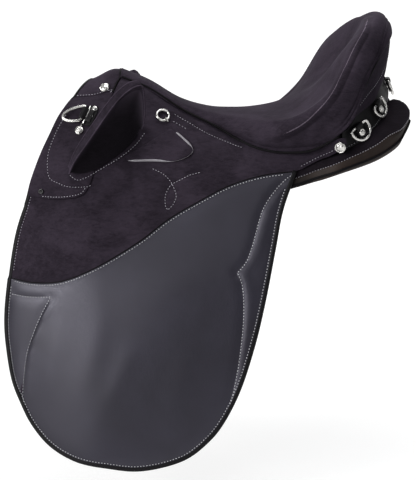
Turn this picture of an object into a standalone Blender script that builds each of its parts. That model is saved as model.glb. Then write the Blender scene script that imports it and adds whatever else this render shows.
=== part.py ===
"""Stock saddle with raised knee pads, a suede seat and long smooth flaps.

X runs from the pommel to the cantle, -Y is the near side and Z is up, in metres. The origin is on the centre
line, under the lowest point of the seat, at the height where the panels meet the horse's back.
"""
import math

import bmesh
import bpy
from mathutils import Matrix, Vector

for old in list(bpy.data.objects):
    bpy.data.objects.remove(old, do_unlink=True)

# Driving dimensions of the whole saddle
SEAT_LENGTH = 0.382        # front of the seat to the crest of the cantle
SEAT_WIDTH = 0.312         # across the crest, where the seat is widest
SEAT_HEIGHT = 0.100        # lowest point of the seat over the origin
CANTLE_RISE = 0.143        # crest of the cantle over the lowest point
FLAP_DROP = 0.337          # flap's lowest point under the level where the flap hangs straight
BEND_SPLAY = 0.10          # how much the line that a flap bends along spreads for each metre towards the cantle
BEND_LEVEL = 0.0107        # height of that line under the lowest point of the seat
BEND_RISE = 0.1475         # how much it climbs for each metre towards the cantle
FLAP_FLARE = 0.24          # how much a hanging flap leans out for each metre down
FRONT_CURL = 2.0           # how the front of a flap turns in, per metre squared

# Leathers and gaps
GAP = 0.0004               # between pieces that touch
FLAP_LEATHER = 0.0026
PANEL_LEATHER = 0.0016     # smooth leather sewn on the lower flap
YOKE_LEATHER = 0.0018
SKIRT_LEATHER = 0.0024
COVER_LEATHER = 0.0026
SWEAT_LEATHER = 0.0022
GIRTH_LEATHER = 0.0030
BINDING_LEATHER = 0.0030
FACING_LEATHER = 0.0030
LAYER_GAP = 0.0007         # between flap, girth points and sweat flap

# Seat and tree
FOAM_THICKNESS = 0.0115    # under the middle of the seat
FOAM_AT_CREST = 0.013
TREE_THICKNESS = 0.008
BAR_RECESS = 0.012         # tree's bar under the flap
BAR_FOOT_RECESS = 0.0078   # tree's lower edge under the flap
BAR_THICKNESS = 0.008
BOARD_CLEARANCE = 0.0020   # cantle board to the strip round it
BOARD_EDGE = 0.004         # how much the cantle board narrows to its top
WALL_INSET = 0.010         # tree's shoulder under the flap
REAR_FOOT_LIFT = 0.022     # how much higher the bars end at the back, over the panels
HEAD_INSET = 0.0075        # tree's head under the head cover
HEAD_SHOULDER = 0.62       # share of the half width where the head turns down
HEAD_X = (-210, -198, -186)
GULLET_THICKNESS = 0.0026
GULLET_WIDTH = 0.018
GULLET_STEPS = 5
UNDER_STEPS = 2

# Round the cantle
FACING_SWEEP = 60          # degrees that the strip turns to each side
FACING_LEAN = 0.012        # how much further out its foot stands
LEAN_ENDS, LEAN_FADES = 48, 12
FACING_STEPS = 22
BINDING_START = 8          # seat station where the cantle's binding begins
BINDING_SEAM = 0.0028      # between the seat's edge and the binding
BINDING_LAP = 0.002        # binding over the strip's top

# Panels
CHANNEL = 0.044            # between the panels, where the horse's spine runs
PANEL_STUFFING = 0.036     # half the panel's greatest thickness
PANEL_POWER = 2.6          # of the superellipse that a panel's section follows
PANEL_SIDES = 16
PANEL_CLEARANCE = 0.0012   # panel to the pieces that it lies against
PANEL_FALL = 8.0           # how the panel's top falls away behind the strip, per metre squared

# Knee pads
PAD_BASE_WIDTH = 0.024
PAD_FOOT_WIDTH = 0.019     # of the strip round its edge, at the foot
PAD_TIP_WIDTH = 0.010      # of the same strip, towards the tip
PAD_HOLLOW = 0.006         # how deep the side towards the knee is hollowed
PAD_FULL_AT = 0.08         # rise at which the hollow is that deep
PAD_STEPS = 2

# Stirrup bars
STIRRUP_BAR_LENGTH = 0.066
STIRRUP_BAR_WIDTH = 0.012
STIRRUP_BAR_THICKNESS = 0.0055
STIRRUP_BAR_GAP = 0.009    # for the stirrup leather
STIRRUP_PLATE = 0.0035
STIRRUP_CLEARANCE = 0.0012 # bar to flap
CATCH_ROOM = 0.010         # behind the bar's open end
CATCH_KNUCKLE = 0.0024
CATCH_HEIGHT = 0.0095

# Metal fittings
DEE_WIRE = 0.0042
REAR_DEE_WIDTH = 0.036
REAR_DEE_DEPTH = 0.026
FRONT_DEE_WIDTH = 0.0285
FRONT_DEE_DEPTH = 0.034
FRONT_DEE_SLANT = 26       # degrees that its bow leans from square to its bar
CLIP_METAL = 0.0013
CLIP_WIDTH = 0.013
CLIP_LENGTH = 0.0165
FRONT_CLIP_WIDTH = 0.0160
FRONT_PLATE_WIDTH = 0.028
PLATE_FROM = 0.0055        # from the bar to the wider plate
FRONT_SCREWS = 0.0088      # from the middle of the plate
FRONT_PLATE_SHIFT = 0.004  # of the screwed plate along the bar
WIRE_CLEARANCE = 0.0004
SCREW_HEAD = 0.0094
SCREW_HEIGHT = 0.0034
RING_OUTER = 0.0215
RING_WIRE = 0.0036
RING_LIFT = 0.0012         # ring over the leather it lies on
STAPLE_WIRE = 0.0024
REAR_STUD, REAR_STUD_HEIGHT = 0.0165, 0.0045
POMMEL_STUD, POMMEL_STUD_HEIGHT = 0.0150, 0.0040
FRONT_STUD, FRONT_STUD_HEIGHT = 0.0130, 0.0038
DOME_RIVET, RIVET_HEIGHT = 0.0080, 0.0026

# Girth points
GIRTH_POINT_WIDTH = 0.026
GIRTH_POINT_LENGTH = 0.250
GIRTH_POINT_SPACING = 0.092
GIRTH_POINT_HOLES = 6
GIRTH_HOLE = 0.0055
GIRTH_HOLE_PITCH = 0.025

# The outlines below are drawn in millimetres for a saddle of this size, and graded to the dimensions above
DRAWN_LENGTH = 0.382
DRAWN_WIDTH = 0.312
DRAWN_HEIGHT = 100.0
DRAWN_RISE = 143.0
DRAWN_DROP = 337.0
DRAWN_STUFFING = 0.036
DRAWN_CHANNEL = 0.044
STRAIGHT_FROM = -60.0

# Ellipse that the strip round the cantle follows: its centre, back and half width
CANTLE_AT, STRIP_REACH, STRIP_HALF_WIDTH = 60, 160, 157

BEND_OUT = 120             # centre plane to the line that a flap bends along

# Heights of the centre line from the pommel to the back of the seat
TOP_LINE = (
    (-330, 118), (-270, 135), (-214, 147), (-180, 161), (-141, 149), (-99, 123), (-69, 109),
    (-38, 102), (0, 100), (38, 102), (76, 112), (120, 128), (160, 150),
)

# Seat stations: centre line (along, up), crest (along, out, up), lower edge (along, out, up).
# An edge with no width lies on the side of the saddle.
SEAT_STATIONS = (
    ((-172, 160), (-172, 15, 158), (-172, None, 149.5)),
    ((-130, 142.5), (-130, 30, 139.5), (-130, None, 132)),
    ((-85, 116), (-85, 38, 112), (-83, None, 102)),
    ((-40, 102.5), (-40, 56, 98), (-38, None, 81)),
    ((0, 100), (0, 76, 92), (-2, None, 62)),
    ((30, 101.5), (34, 98, 89), (31, None, 51)),
    ((55, 106), (65, 116, 92), (68, None, 49)),
    ((75, 112), (95, 131, 105), (105, None, 57)),
    ((95, 120), (126, 143, 134), (147, 154, 89)),
    ((115, 131), (155, 124, 189), (171, 136, 143)),
    ((130, 142), (176, 102, 214), (192, 114, 177)),
    ((145, 155), (197, 66, 233), (215, 75, 203)),
    ((152, 162), (208, 28, 241), (229, 31, 213)),
    ((155, 165), (211, 0, 243), (233, 0, 216)),
)
LAST_STATION = len(SEAT_STATIONS) - 1
SIDE_STATIONS = 7          # up to here the seat's edge lies on the side of the saddle

# Heights round the cantle, by angle in degrees from the back
BINDING_FOOT = ((0, 158), (11, 155), (26, 139), (36, 120), (51, 102), (61, 79), (66, 68))
FACING_FOOT = ((0, 131), (10, 126), (28, 97), (38, 81), (45, 71), (56, 53), (66, 42))

# Panel sections from front to back: along, out, up, half width, how thick above and below, tilt in degrees
PANEL_SECTIONS = (
    (-268, 64, -36, 14, 5, 5, 66),
    (-255, 63, -30, 33, 10, 11, 66),
    (-220, 62, -15, 43, 12, 14, 62),
    (-160, 64, -7, 44, 10, 15, 56),
    (-80, 68, 1, 46, 11, 16, 46),
    (0, 71, 9, 50, 15, 16, 34),
    (80, 82, 20, 58, 19, 17, 18),
    (140, 86, 34, 63, 24, 20, 8),
    (190, 80, 50, 57, 34, 20, 8),
    (225, 70, 68, 45, 50, 20, 11),
    (238, 66, 79, 34, 44, 17, 12),
    (248, 62, 89, 22, 24, 12, 12),
    (253, 60, 96, 9, 8, 5, 12),
)

# Outlines on the side of the saddle, along and up
FLAP_EDGE = (
    (-316, -36), (-326, -64), (-333, -93), (-339, -137), (-344, -200), (-341, -245), (-333, -286),
    (-318, -319), (-302, -345), (-276, -370), (-239, -387), (-195, -394), (-159, -397), (-124, -392),
    (-88, -380), (-60, -360), (-35, -332), (-9, -284), (13, -221), (29, -159), (44, -89), (56, -33), (76, 21),
)
FLAP_SEAM = (
    (-340, -141), (-301, -144), (-257, -138), (-206, -115), (-148, -80), (-107, -49), (-61, -22),
    (-18, 0), (28, 14), (76, 20.5),
)
FRONT_EDGE = ((-216, 144), (-242, 121), (-262, 97), (-277, 68), (-291, 39), (-305, 3), (-312, -22), (-316, -34))
CREASE = (
    (-172, 149.5), (-130, 132), (-83, 102), (-38, 81), (-2, 62), (31, 51), (68, 49), (105, 57), (127, 67), (141, 70),
)
HEAD_REAR_EDGE = ((144, 62), (139, 54), (123, 43), (109, 37), (84, 23.5))
HEAD_COVER_FRONT = (-242, 120.5)
HEAD_COVER_BACK = (-184, 129)
YOKE_BACK = ((-184, 129), (-190, 95), (-206, 40), (-216, 6), (-222, -7))
YOKE_FOOT = ((-222, -7), (-228, -15), (-241, -20), (-263, -23), (-285, -23), (-308, -21))
SKIRT_CORNERS = ((-167, 38.5), (-101, 77.5), (-86, 66), (-70, 50), (-76, 40), (-97, 32.5), (-125, 33.5), (-163, 33))
STIRRUP_WINDOW = ((-138, -92), (37, 52))
SWEAT_EDGE = (
    (-262, -32), (-276, -90), (-280, -170), (-266, -240), (-232, -292), (-176, -318), (-116, -314),
    (-66, -284), (-32, -228), (-8, -150), (10, -70), (26, 6),
)
PAD_BASE = ((-244, 21), (-232, 24), (-212, 32), (-186, 49), (-166, 64), (-152, 78))
PAD_EDGE = (
    (-249, 88, 24), (-240, 102, 46), (-229, 112, 65), (-214, 123, 87), (-198, 137, 110), (-181, 150, 132),
    (-166, 162, 146), (-154, 170, 152), (-147, 168, 149), (-144, 150, 124), (-144, 125, 98), (-146, 98, 84),
)

# Places of the fittings
STIRRUP_BAR_AT = (-112, 46)
FRONT_DEE_AT = (-226, 96.5)
FRONT_DEE_BAR = (-11, -24)
FRONT_STUD_AT = (-233, 74)
SIDE_RING_AT = (-112, 95)
RING_TO_STAPLE = (8, -11)
POMMEL_STUD_AT = (-196, 134.5)
REAR_STUD_AT = (136, 57.5)
DOME_RIVET_AT = (-289, -13)
REAR_DEES = ((51.5, 84), (34, 113), (8, 142))
GIRTH_POINTS_AT = -70

CREASE_TUCK = 0.0012       # how far a flap's head runs up under the seat's edge
TUCK_FROM, TUCK_TO = -165, -40
TUCK_FADES = 0.05
HEAD_STEPS = 4
LEAST_STEP = 0.003         # between points of two lines where they join

SIDES = (("near", -1), ("off", 1))


# Grading: outline millimetres to metres

def along(mm):
    return mm / 1000 * SEAT_LENGTH / DRAWN_LENGTH


def across(mm):
    return mm / 1000 * SEAT_WIDTH / DRAWN_WIDTH


def level(mm):
    if mm > DRAWN_HEIGHT:
        return SEAT_HEIGHT + (mm - DRAWN_HEIGHT) / DRAWN_RISE * CANTLE_RISE
    straight = max(mm, STRAIGHT_FROM) * SEAT_HEIGHT / DRAWN_HEIGHT
    return straight + min(mm - STRAIGHT_FROM, 0) / DRAWN_DROP * FLAP_DROP


BEND_HALF_WIDTH = across(BEND_OUT)
CANTLE_CENTRE = along(CANTLE_AT)
FACING_REACH = along(STRIP_REACH)
FACING_HALF_WIDTH = across(STRIP_HALF_WIDTH)


def curve(points, x):
    """Value at x of the smooth curve through the points (x, value)."""
    if x <= points[0][0]:
        return points[0][1]
    if x >= points[-1][0]:
        return points[-1][1]
    i = max(j for j in range(len(points) - 1) if points[j][0] <= x)

    def slope(j):
        a, b = points[max(j - 1, 0)], points[min(j + 1, len(points) - 1)]
        return (b[1] - a[1]) / (b[0] - a[0])

    h = points[i + 1][0] - points[i][0]
    t = (x - points[i][0]) / h
    return (
        (2 * t ** 3 - 3 * t ** 2 + 1) * points[i][1]
        + (t ** 3 - 2 * t ** 2 + t) * h * slope(i)
        + (3 * t ** 2 - 2 * t ** 3) * points[i + 1][1]
        + (t ** 3 - t ** 2) * h * slope(i + 1)
    )


def through(points, steps):
    """Points of a smooth open curve through vectors or tuples of any length."""
    points = [Vector(p) for p in points]
    out = []
    for i in range(len(points) - 1):
        a, b = points[i], points[i + 1]
        before = points[i - 1] if i else a * 2 - b
        after = points[i + 2] if i + 2 < len(points) else b * 2 - a
        da, db = (b - before) / 2, (after - a) / 2
        for k in range(steps):
            t = k / steps
            out.append(
                a * (2 * t ** 3 - 3 * t ** 2 + 1) + da * (t ** 3 - 2 * t ** 2 + t)
                + b * (3 * t ** 2 - 2 * t ** 3) + db * (t ** 3 - t ** 2)
            )
    return out + [points[-1]]


# The side of the saddle

TOP_POINTS = [(along(x), level(z)) for x, z in TOP_LINE]
ARCH_POWER = 2.5           # of the superellipse that a cross-section follows over the top
REAR_LEAN = 0.45           # how the side leans out under the back of the seat
LEAN_FROM, LEAN_OVER, LEAN_DEPTH = along(-20), along(130), 0.03
REAR_FLARE_FROM, REAR_FLARE = along(85), 4.0
CURL_FROM = along(-200)


def ease(t):
    t = min(max(t, 0), 1)
    return t * t * (3 - 2 * t)


def bend_level(x):
    return BEND_LEVEL + BEND_RISE * x


def bend_out(x):
    return BEND_HALF_WIDTH + BEND_SPLAY * x


def side_out(x, z):
    """Distance from the centre plane to the outer face of the flap leather."""
    low = bend_level(x)
    out = bend_out(x) + REAR_FLARE * max(0, x - REAR_FLARE_FROM) ** 2
    curl = FRONT_CURL * max(0, CURL_FROM - x) ** 2
    if z < low:
        return out + FLAP_FLARE * (low - z) - curl
    height = curve(TOP_POINTS, x) - low
    s = min((z - low) / height, 0.999)
    lean = REAR_LEAN * ease((x - LEAN_FROM) / LEAN_OVER) * (z - low) ** 2 / LEAN_DEPTH
    over = (1 - s ** ARCH_POWER) ** (1 / ARCH_POWER)
    return out * over * (1 - FLAP_FLARE * height / out * s) - curl * (1 - s) + lean


def side_normal(x, z):
    """Outward normal on the near side."""
    d = 0.0005
    wx = (side_out(x + d, z) - side_out(x - d, z)) / (2 * d)
    wz = (side_out(x, z + d) - side_out(x, z - d)) / (2 * d)
    return Vector((-wx, -1, -wz)).normalized()


def on_side(x, z, lift=0.0):
    """Point on the near side, lifted along the normal."""
    return Vector((x, -side_out(x, z), z)) + side_normal(x, z) * lift


def graded(points):
    return [(along(x), level(z)) for x, z in points]


# Materials

def material(name, colour, roughness, metallic=0.0):
    made = bpy.data.materials.new(name)
    made.use_nodes = True
    shader = made.node_tree.nodes["Principled BSDF"]
    shader.inputs["Base Color"].default_value = (*colour, 1)
    shader.inputs["Roughness"].default_value = roughness
    shader.inputs["Metallic"].default_value = metallic
    made.diffuse_color = (*colour, 1)
    return made


SUEDE = material("suede", (0.029, 0.022, 0.028), 0.95)
SMOOTH = material("smooth_leather", (0.045, 0.045, 0.054), 0.55)
BRIDLE = material("bridle_leather", (0.022, 0.019, 0.021), 0.5)
STEEL = material("bright_steel", (0.75, 0.74, 0.72), 0.2, 1.0)
BLACK_METAL = material("black_metal", (0.02, 0.02, 0.02), 0.35, 1.0)
FOAM = material("foam", (0.55, 0.52, 0.42), 0.9)
TREE_PLASTIC = material("tree_plastic", (0.07, 0.07, 0.07), 0.6)


# Building solids

def finish(name, bm, made_of, side=-1, smooth_angle=40):
    """Makes the named object, mirrored to the off side if side is 1."""
    if side > 0:
        bmesh.ops.scale(bm, vec=(1, -1, 1), verts=bm.verts)
        bmesh.ops.reverse_faces(bm, faces=bm.faces)
    mesh = bpy.data.meshes.new(name)
    bm.to_mesh(mesh)
    bm.free()
    thing = bpy.data.objects.new(name, mesh)
    bpy.context.scene.collection.objects.link(thing)
    mesh.materials.append(made_of)
    mesh.shade_smooth()
    mesh.set_sharp_from_angle(angle=math.radians(smooth_angle))
    return thing


def set_origin(thing, point, basis=None):
    """Moves the origin to a joint's axis and leaves the shape where it is."""
    place = Matrix.Translation(point)
    if basis is not None:
        place = place @ basis.to_4x4()
    thing.data.transform(place.inverted())
    thing.matrix_world = place


def thicken(bm, inner, outer):
    """Closes a sheet into a solid between two moves of its vertices."""
    verts = list(bm.verts)
    faces = [[v.index for v in f.verts] for f in bm.faces]
    edges = [(e.verts[0].index, e.verts[1].index) for e in bm.edges if e.is_boundary]
    wound = {}
    for f in faces:
        for a, b in zip(f, f[1:] + f[:1]):
            wound[a, b] = True
    solid = bmesh.new()
    low = [solid.verts.new(inner(v)) for v in verts]
    high = [solid.verts.new(outer(v)) for v in verts]
    for f in faces:
        solid.faces.new([high[i] for i in f])
        solid.faces.new([low[i] for i in reversed(f)])
    for a, b in edges:
        if (a, b) not in wound:
            a, b = b, a
        solid.faces.new((low[a], low[b], high[b], high[a]))
    bm.free()
    return solid


def flat_region(outline, xs, zs, hole=None):
    """A flat mesh inside the outline, in X and Z, divided along the lines."""
    bm = bmesh.new()
    bm.faces.new([bm.verts.new((x, 0, z)) for x, z in outline])
    lines = [((x, 0, 0), (1, 0, 0)) for x in xs] + [((0, 0, z), (0, 0, 1)) for z in zs]
    if hole:
        (x0, x1), (z0, z1) = hole
        lines += [((x0, 0, 0), (1, 0, 0)), ((x1, 0, 0), (1, 0, 0)), ((0, 0, z0), (0, 0, 1)), ((0, 0, z1), (0, 0, 1))]
    for co, no in lines:
        bmesh.ops.bisect_plane(bm, geom=bm.verts[:] + bm.edges[:] + bm.faces[:], plane_co=co, plane_no=no, dist=1e-5)
    bmesh.ops.remove_doubles(bm, verts=bm.verts, dist=2e-4)
    if hole:
        inside = []
        for f in bm.faces:
            c = f.calc_center_median()
            if x0 < c.x < x1 and z0 < c.z < z1:
                inside.append(f)
        bmesh.ops.delete(bm, geom=inside, context="FACES")
    bmesh.ops.triangulate(bm, faces=bm.faces)
    bmesh.ops.recalc_face_normals(bm, faces=bm.faces)
    if bm.faces[0].normal.y > 0:
        bmesh.ops.reverse_faces(bm, faces=bm.faces)
    bm.verts.index_update()
    return bm


X_LINES = [along(24 * i) for i in range(-15, 8)]
Z_LINES = [level(18 * i) for i in range(-2, 10)]


def side_sheet(name, outline, inner, outer, made_of, side, hole=None, z_lines=Z_LINES):
    """A leather piece cut to the outline and laid on the side of the saddle."""
    bm = flat_region(outline, X_LINES, z_lines, hole)
    solid = thicken(bm, lambda v: on_side(v.co.x, v.co.z, inner), lambda v: on_side(v.co.x, v.co.z, outer))
    return finish(name, solid, made_of, side)


def grid(rows, closed=False, split=0):
    """A sheet mesh between rows of points. The first columns are split into triangles all the same way."""
    bm = bmesh.new()
    made = [[bm.verts.new(p) for p in row] for row in rows]
    for a, b in zip(made, made[1:]):
        for k in range(len(a) - (0 if closed else 1)):
            n = (k + 1) % len(a)
            if k < split:
                bm.faces.new((a[k], a[n], b[k]))
                bm.faces.new((a[n], b[n], b[k]))
            else:
                bm.faces.new((a[k], a[n], b[n], b[k]))
    return bm


def capped(rows):
    """A solid from closed rings of points, with fans on both ends."""
    bm = grid(rows, closed=True)
    bm.verts.ensure_lookup_table()
    n = len(rows[0])
    for ring, turn in ((rows[0], True), (rows[-1], False)):
        centre = bm.verts.new(sum(ring, Vector()) / n)
        bm.verts.ensure_lookup_table()
        start = 0 if turn else (len(rows) - 1) * n
        for k in range(n):
            a, b = bm.verts[start + k], bm.verts[start + (k + 1) % n]
            bm.faces.new((centre, b, a) if turn else (centre, a, b))
    bmesh.ops.recalc_face_normals(bm, faces=bm.faces)
    return bm


def wire_rows(path, radius, up, ends, sides=8):
    rows = []
    for p, (before, after) in zip(path, ends):
        across_wire = (after - before).normalized().cross(up).normalized()
        rows.append([
            p + up * math.cos(a) * radius + across_wire * math.sin(a) * radius
            for a in (2 * math.pi * k / sides for k in range(sides))
        ])
    return rows


def tube(path, radius, up):
    """A closed loop of round wire along the points of a flat path, whose normal is up."""
    ends = [(path[i - 1], path[(i + 1) % len(path)]) for i in range(len(path))]
    rows = wire_rows(path, radius, up, ends)
    bm = grid(rows + [rows[0]], closed=True)
    bmesh.ops.remove_doubles(bm, verts=bm.verts, dist=1e-6)
    bmesh.ops.recalc_face_normals(bm, faces=bm.faces)
    return bm


def rod(path, radius, up):
    """A round wire along an open flat path."""
    ends = [(path[max(i - 1, 0)], path[min(i + 1, len(path) - 1)]) for i in range(len(path))]
    return capped(wire_rows(path, radius, up, ends))


def merge(bm, other):
    """Adds one mesh's shape to another, ready for a union."""
    made = bpy.data.meshes.new("part")
    other.to_mesh(made)
    other.free()
    bm.from_mesh(made)
    bpy.data.meshes.remove(made)


def combine(thing, other, operation):
    """Applies a Boolean to the thing with another object as its hidden partner."""
    other.hide_render = True
    other.display_type = "WIRE"
    step = thing.modifiers.new(operation.lower(), "BOOLEAN")
    step.operation = operation
    step.solver = "EXACT"
    step.object = other


# Form of the seat

DISH_STEPS = 4
ROLL_STEPS = 4
STATION_STEPS = 2
SEAT_ROWS = [i / STATION_STEPS for i in range(LAST_STATION * STATION_STEPS + 1)]
FULLNESS = 1.5             # how round the roll of the seat is
SLOPE_SPAN = 0.2           # share of a station over which the seat's slope is taken
FOAM_LIFT = 0.0012         # foam over the tree, which its facets come close to
FLAT_FROM, FLAT_OVER = 5, 2
LOW_ROLL_TO, LOW_ROLL_OVER = 2, 2


def station(t):
    """Centre, crest and lower edge of the seat at a station, on the near side."""
    def at(k):
        flipped = k > LAST_STATION
        (cx, cz), (rx, ry, rz), (ex, ey, ez) = SEAT_STATIONS[LAST_STATION * 2 - k if flipped else k]
        turn = 1 if flipped else -1
        if ey is None:
            edge = on_side(along(ex), level(ez), COVER_LEATHER + 2 * GAP)
        else:
            edge = Vector((along(ex), turn * across(ey), level(ez)))
        return Vector((along(cx), 0, level(cz))), Vector((along(rx), turn * across(ry), level(rz))), edge

    i = min(int(t), LAST_STATION - 1)
    u = t - i
    found = []
    for k in range(3):
        a, b, after = at(i)[k], at(i + 1)[k], at(i + 2)[k]
        before = at(i - 1)[k] if i else a * 2 - b
        da, db = (b - before) / 2, (after - a) / 2
        found.append(
            a * (2 * u ** 3 - 3 * u ** 2 + 1) + da * (u ** 3 - 2 * u ** 2 + u)
            + b * (3 * u ** 2 - 2 * u ** 3) + db * (u ** 3 - u ** 2)
        )
    return found


def hermite(a, b, da, db, u):
    return (
        a * (2 * u ** 3 - 3 * u ** 2 + 1) + da * (u ** 3 - 2 * u ** 2 + u)
        + b * (3 * u ** 2 - 2 * u ** 3) + db * (u ** 3 - u ** 2)
    )


def seat_section(t, centre, crest, edge):
    """Points from the centre line over the crest to the lower edge."""
    ahead, behind = station(min(t + SLOPE_SPAN, LAST_STATION))[0], station(max(t - SLOPE_SPAN, 0))[0]
    climb = (ahead.z - behind.z) / (ahead.x - behind.x)
    level_way = Vector((crest.x - centre.x, crest.y - centre.y, 0))
    start = level_way + Vector((0, 0, climb * level_way.x))
    rounding = 1 - ease((t - FLAT_FROM) / FLAT_OVER)
    end = level_way + Vector((0, 0, 2 * rounding * (crest.z - centre.z)))
    row = [hermite(centre, crest, start, end, k / DISH_STEPS) for k in range(DISH_STEPS)]
    drop = crest.z - edge.z
    reach = max(Vector((edge.x - crest.x, edge.y - crest.y, 0)).length, drop / 2) * FULLNESS
    over = end.normalized() * reach
    down = Vector((0, 0, -drop * FULLNESS))
    front = 1 - ease((t - LOW_ROLL_TO) / LOW_ROLL_OVER)
    if front:
        chord = (edge - crest).length
        d = 0.002
        along_side = Vector((0, side_out(edge.x, edge.z) - side_out(edge.x, edge.z - d), -d)).normalized()
        over = over.lerp(end.normalized() * chord, front)
        down = down.lerp(along_side * chord, front)
    row += [hermite(crest, edge, over, down, k / ROLL_STEPS) for k in range(ROLL_STEPS + 1)]
    return row


def mirrored_sheet(near_rows):
    """A sheet over both sides from the near side's rows, which start on the centre line."""
    columns = len(near_rows[0])
    sheet = grid(near_rows, split=columns)
    merge(sheet, grid([[Vector((p.x, -p.y, p.z)) for p in row] for row in near_rows], split=columns))
    bmesh.ops.remove_doubles(sheet, verts=sheet.verts, dist=1e-5)
    bmesh.ops.recalc_face_normals(sheet, faces=sheet.faces)
    sheet.normal_update()
    highest = max(sheet.faces, key=lambda f: abs(f.normal.z))
    if highest.normal.z < 0:
        bmesh.ops.reverse_faces(sheet, faces=sheet.faces)
    sheet.normal_update()
    sheet.verts.index_update()
    return sheet


def seat_rows():
    return [seat_section(t, *station(t)) for t in SEAT_ROWS]


def toward(point, target, distance):
    """The point moved level towards a target, by at most half the way."""
    way = Vector((target.x - point.x, target.y - point.y, 0))
    if way.length < 1e-6:
        return point.copy()
    return point + way.normalized() * min(distance, way.length / 2)


# Round the cantle

def cantle_angle(point):
    return math.degrees(math.atan2(-point.y / FACING_HALF_WIDTH, (point.x - CANTLE_CENTRE) / FACING_REACH))


def facing_heights(angle):
    return level(curve(FACING_FOOT, angle)), level(curve(BINDING_FOOT, angle))


def facing_point(angle, up, inset):
    """Point on the strip under the cantle: 0 at its foot and 1 under the binding, inset from its outer face."""
    a = math.radians(angle)
    normal = Vector((math.cos(a) / FACING_REACH, -math.sin(a) / FACING_HALF_WIDTH, 0)).normalized()
    foot, top = facing_heights(abs(angle))
    lean = FACING_LEAN * (1 - up) * (1 - ease((abs(angle) - LEAN_ENDS) / LEAN_FADES))
    return Vector((
        CANTLE_CENTRE + (FACING_REACH + lean) * math.cos(a), -(FACING_HALF_WIDTH + lean) * math.sin(a),
        foot + (top - foot) * up)) - normal * inset


def within_cantle(p, inset):
    """The point brought level inside the strip under the cantle."""
    angle = cantle_angle(p)
    limit = facing_point(angle, 1, inset)
    reach = Vector((p.x - CANTLE_CENTRE, p.y)).length
    far = Vector((limit.x - CANTLE_CENTRE, limit.y)).length
    return Vector((limit.x, limit.y, p.z)) if reach > far else p


# Tree

FOOT_UNDER_BEND = 0.002    # bars' lower edge under the line where the flap bends
FOOT_CLIMB = along(100)    # over this length the bars' lower edge rises towards the back
SET_IN_BEYOND = 0.018      # past the stirrup bar's ends before the bar's wall comes out again
SET_IN_FADES = 0.04
WALL_SHARE = 0.75          # of the stirrup bar's width, to the two heights of the wall behind it
WALL_OVER_FOOT = 0.006
LEAST_WALL = 0.003
CREST_FADES = 3            # stations over which the tree's crest moves out into the cantle board
BOARD_HEIGHTS = (0.95, 0.65, 0.35, 0.08)


def bar_foot(x):
    """Height of the lower edge of the tree's bars."""
    return bend_level(x) - FOOT_UNDER_BEND + REAR_FOOT_LIFT * ease(x / FOOT_CLIMB)


def stirrup_face(x):
    """Distance from the centre plane to the outer face of the stirrup bar, clear inside the flap."""
    middle, z = along(STIRRUP_BAR_AT[0]), level(STIRRUP_BAR_AT[1])
    nearest = min(
        side_out(middle + sx * STIRRUP_BAR_LENGTH / 2, z + sz * STIRRUP_BAR_WIDTH / 2)
        - BEND_SPLAY * sx * STIRRUP_BAR_LENGTH / 2
        for sx in (-1, 1) for sz in (-1, 1)
    )
    return nearest + BEND_SPLAY * (x - middle) - FLAP_LEATHER - STIRRUP_CLEARANCE


def bar_wall(x, z):
    """Distance from the centre plane to the wall of the tree's bar, set in for the stirrup bar."""
    plain = side_out(x, z) - BAR_RECESS
    set_in = stirrup_face(x) - STIRRUP_BAR_THICKNESS - STIRRUP_BAR_GAP - STIRRUP_PLATE - GAP
    away = abs(x - along(STIRRUP_BAR_AT[0])) - STIRRUP_BAR_LENGTH / 2
    return plain + (min(set_in, plain) - plain) * (1 - ease((away - SET_IN_BEYOND) / SET_IN_FADES))


def side_controls(x, shoulder):
    """The tree's side under its shoulder, two heights of its bar's wall, and its foot."""
    z = level(STIRRUP_BAR_AT[1])
    low = max(z - STIRRUP_BAR_WIDTH * WALL_SHARE, bar_foot(x) + WALL_OVER_FOOT)
    high = max(z + STIRRUP_BAR_WIDTH * WALL_SHARE, low + LEAST_WALL)
    between = (shoulder.z + high) / 2
    foot = on_side(x, bend_level(x) - FOOT_UNDER_BEND, -BAR_FOOT_RECESS)
    return [
        Vector((x, -(side_out(x, between) - WALL_INSET), between)), Vector((x, -bar_wall(x, high), high)),
        Vector((x, -bar_wall(x, low), low)), Vector((x, foot.y, bar_foot(x))),
    ]


def tree_controls(t):
    """Centre, crest, shoulder, two wall points and foot of the tree under a seat station."""
    centre, crest, edge = station(t)
    c = centre - Vector((0, 0, COVER_LEATHER + 2 * GAP + FOAM_THICKNESS))
    inward = FOAM_AT_CREST * (1 - 1.15 * ease((t - SIDE_STATIONS) / CREST_FADES))
    r = toward(crest, centre, inward) - Vector((0, 0, FOAM_AT_CREST + COVER_LEATHER))
    e = toward(edge, centre, FOAM_AT_CREST + COVER_LEATHER)
    if t > SIDE_STATIONS:
        inset = FACING_LEATHER + BOARD_CLEARANCE
        r = within_cantle(r, inset + BOARD_EDGE).lerp(r, 1 - ease(t - SIDE_STATIONS))
        e = within_cantle(e, inset).lerp(e, 1 - ease(t - SIDE_STATIONS))
    e.z = min(max(edge.z, level(STIRRUP_BAR_AT[1]) + STIRRUP_BAR_WIDTH) + 0.003, r.z - 0.004)
    side = side_controls(min(edge.x, along(SEAT_STATIONS[SIDE_STATIONS][2][0])), e)
    if t <= SIDE_STATIONS:
        return [c, r, e] + side
    angle = min(cantle_angle(e), FACING_SWEEP)
    back = [facing_point(angle, up, inset) for up in BOARD_HEIGHTS]
    blend = ease(t - SIDE_STATIONS)
    return [c, r, e] + [a.lerp(b, blend) for a, b in zip(side, back)]


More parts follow.
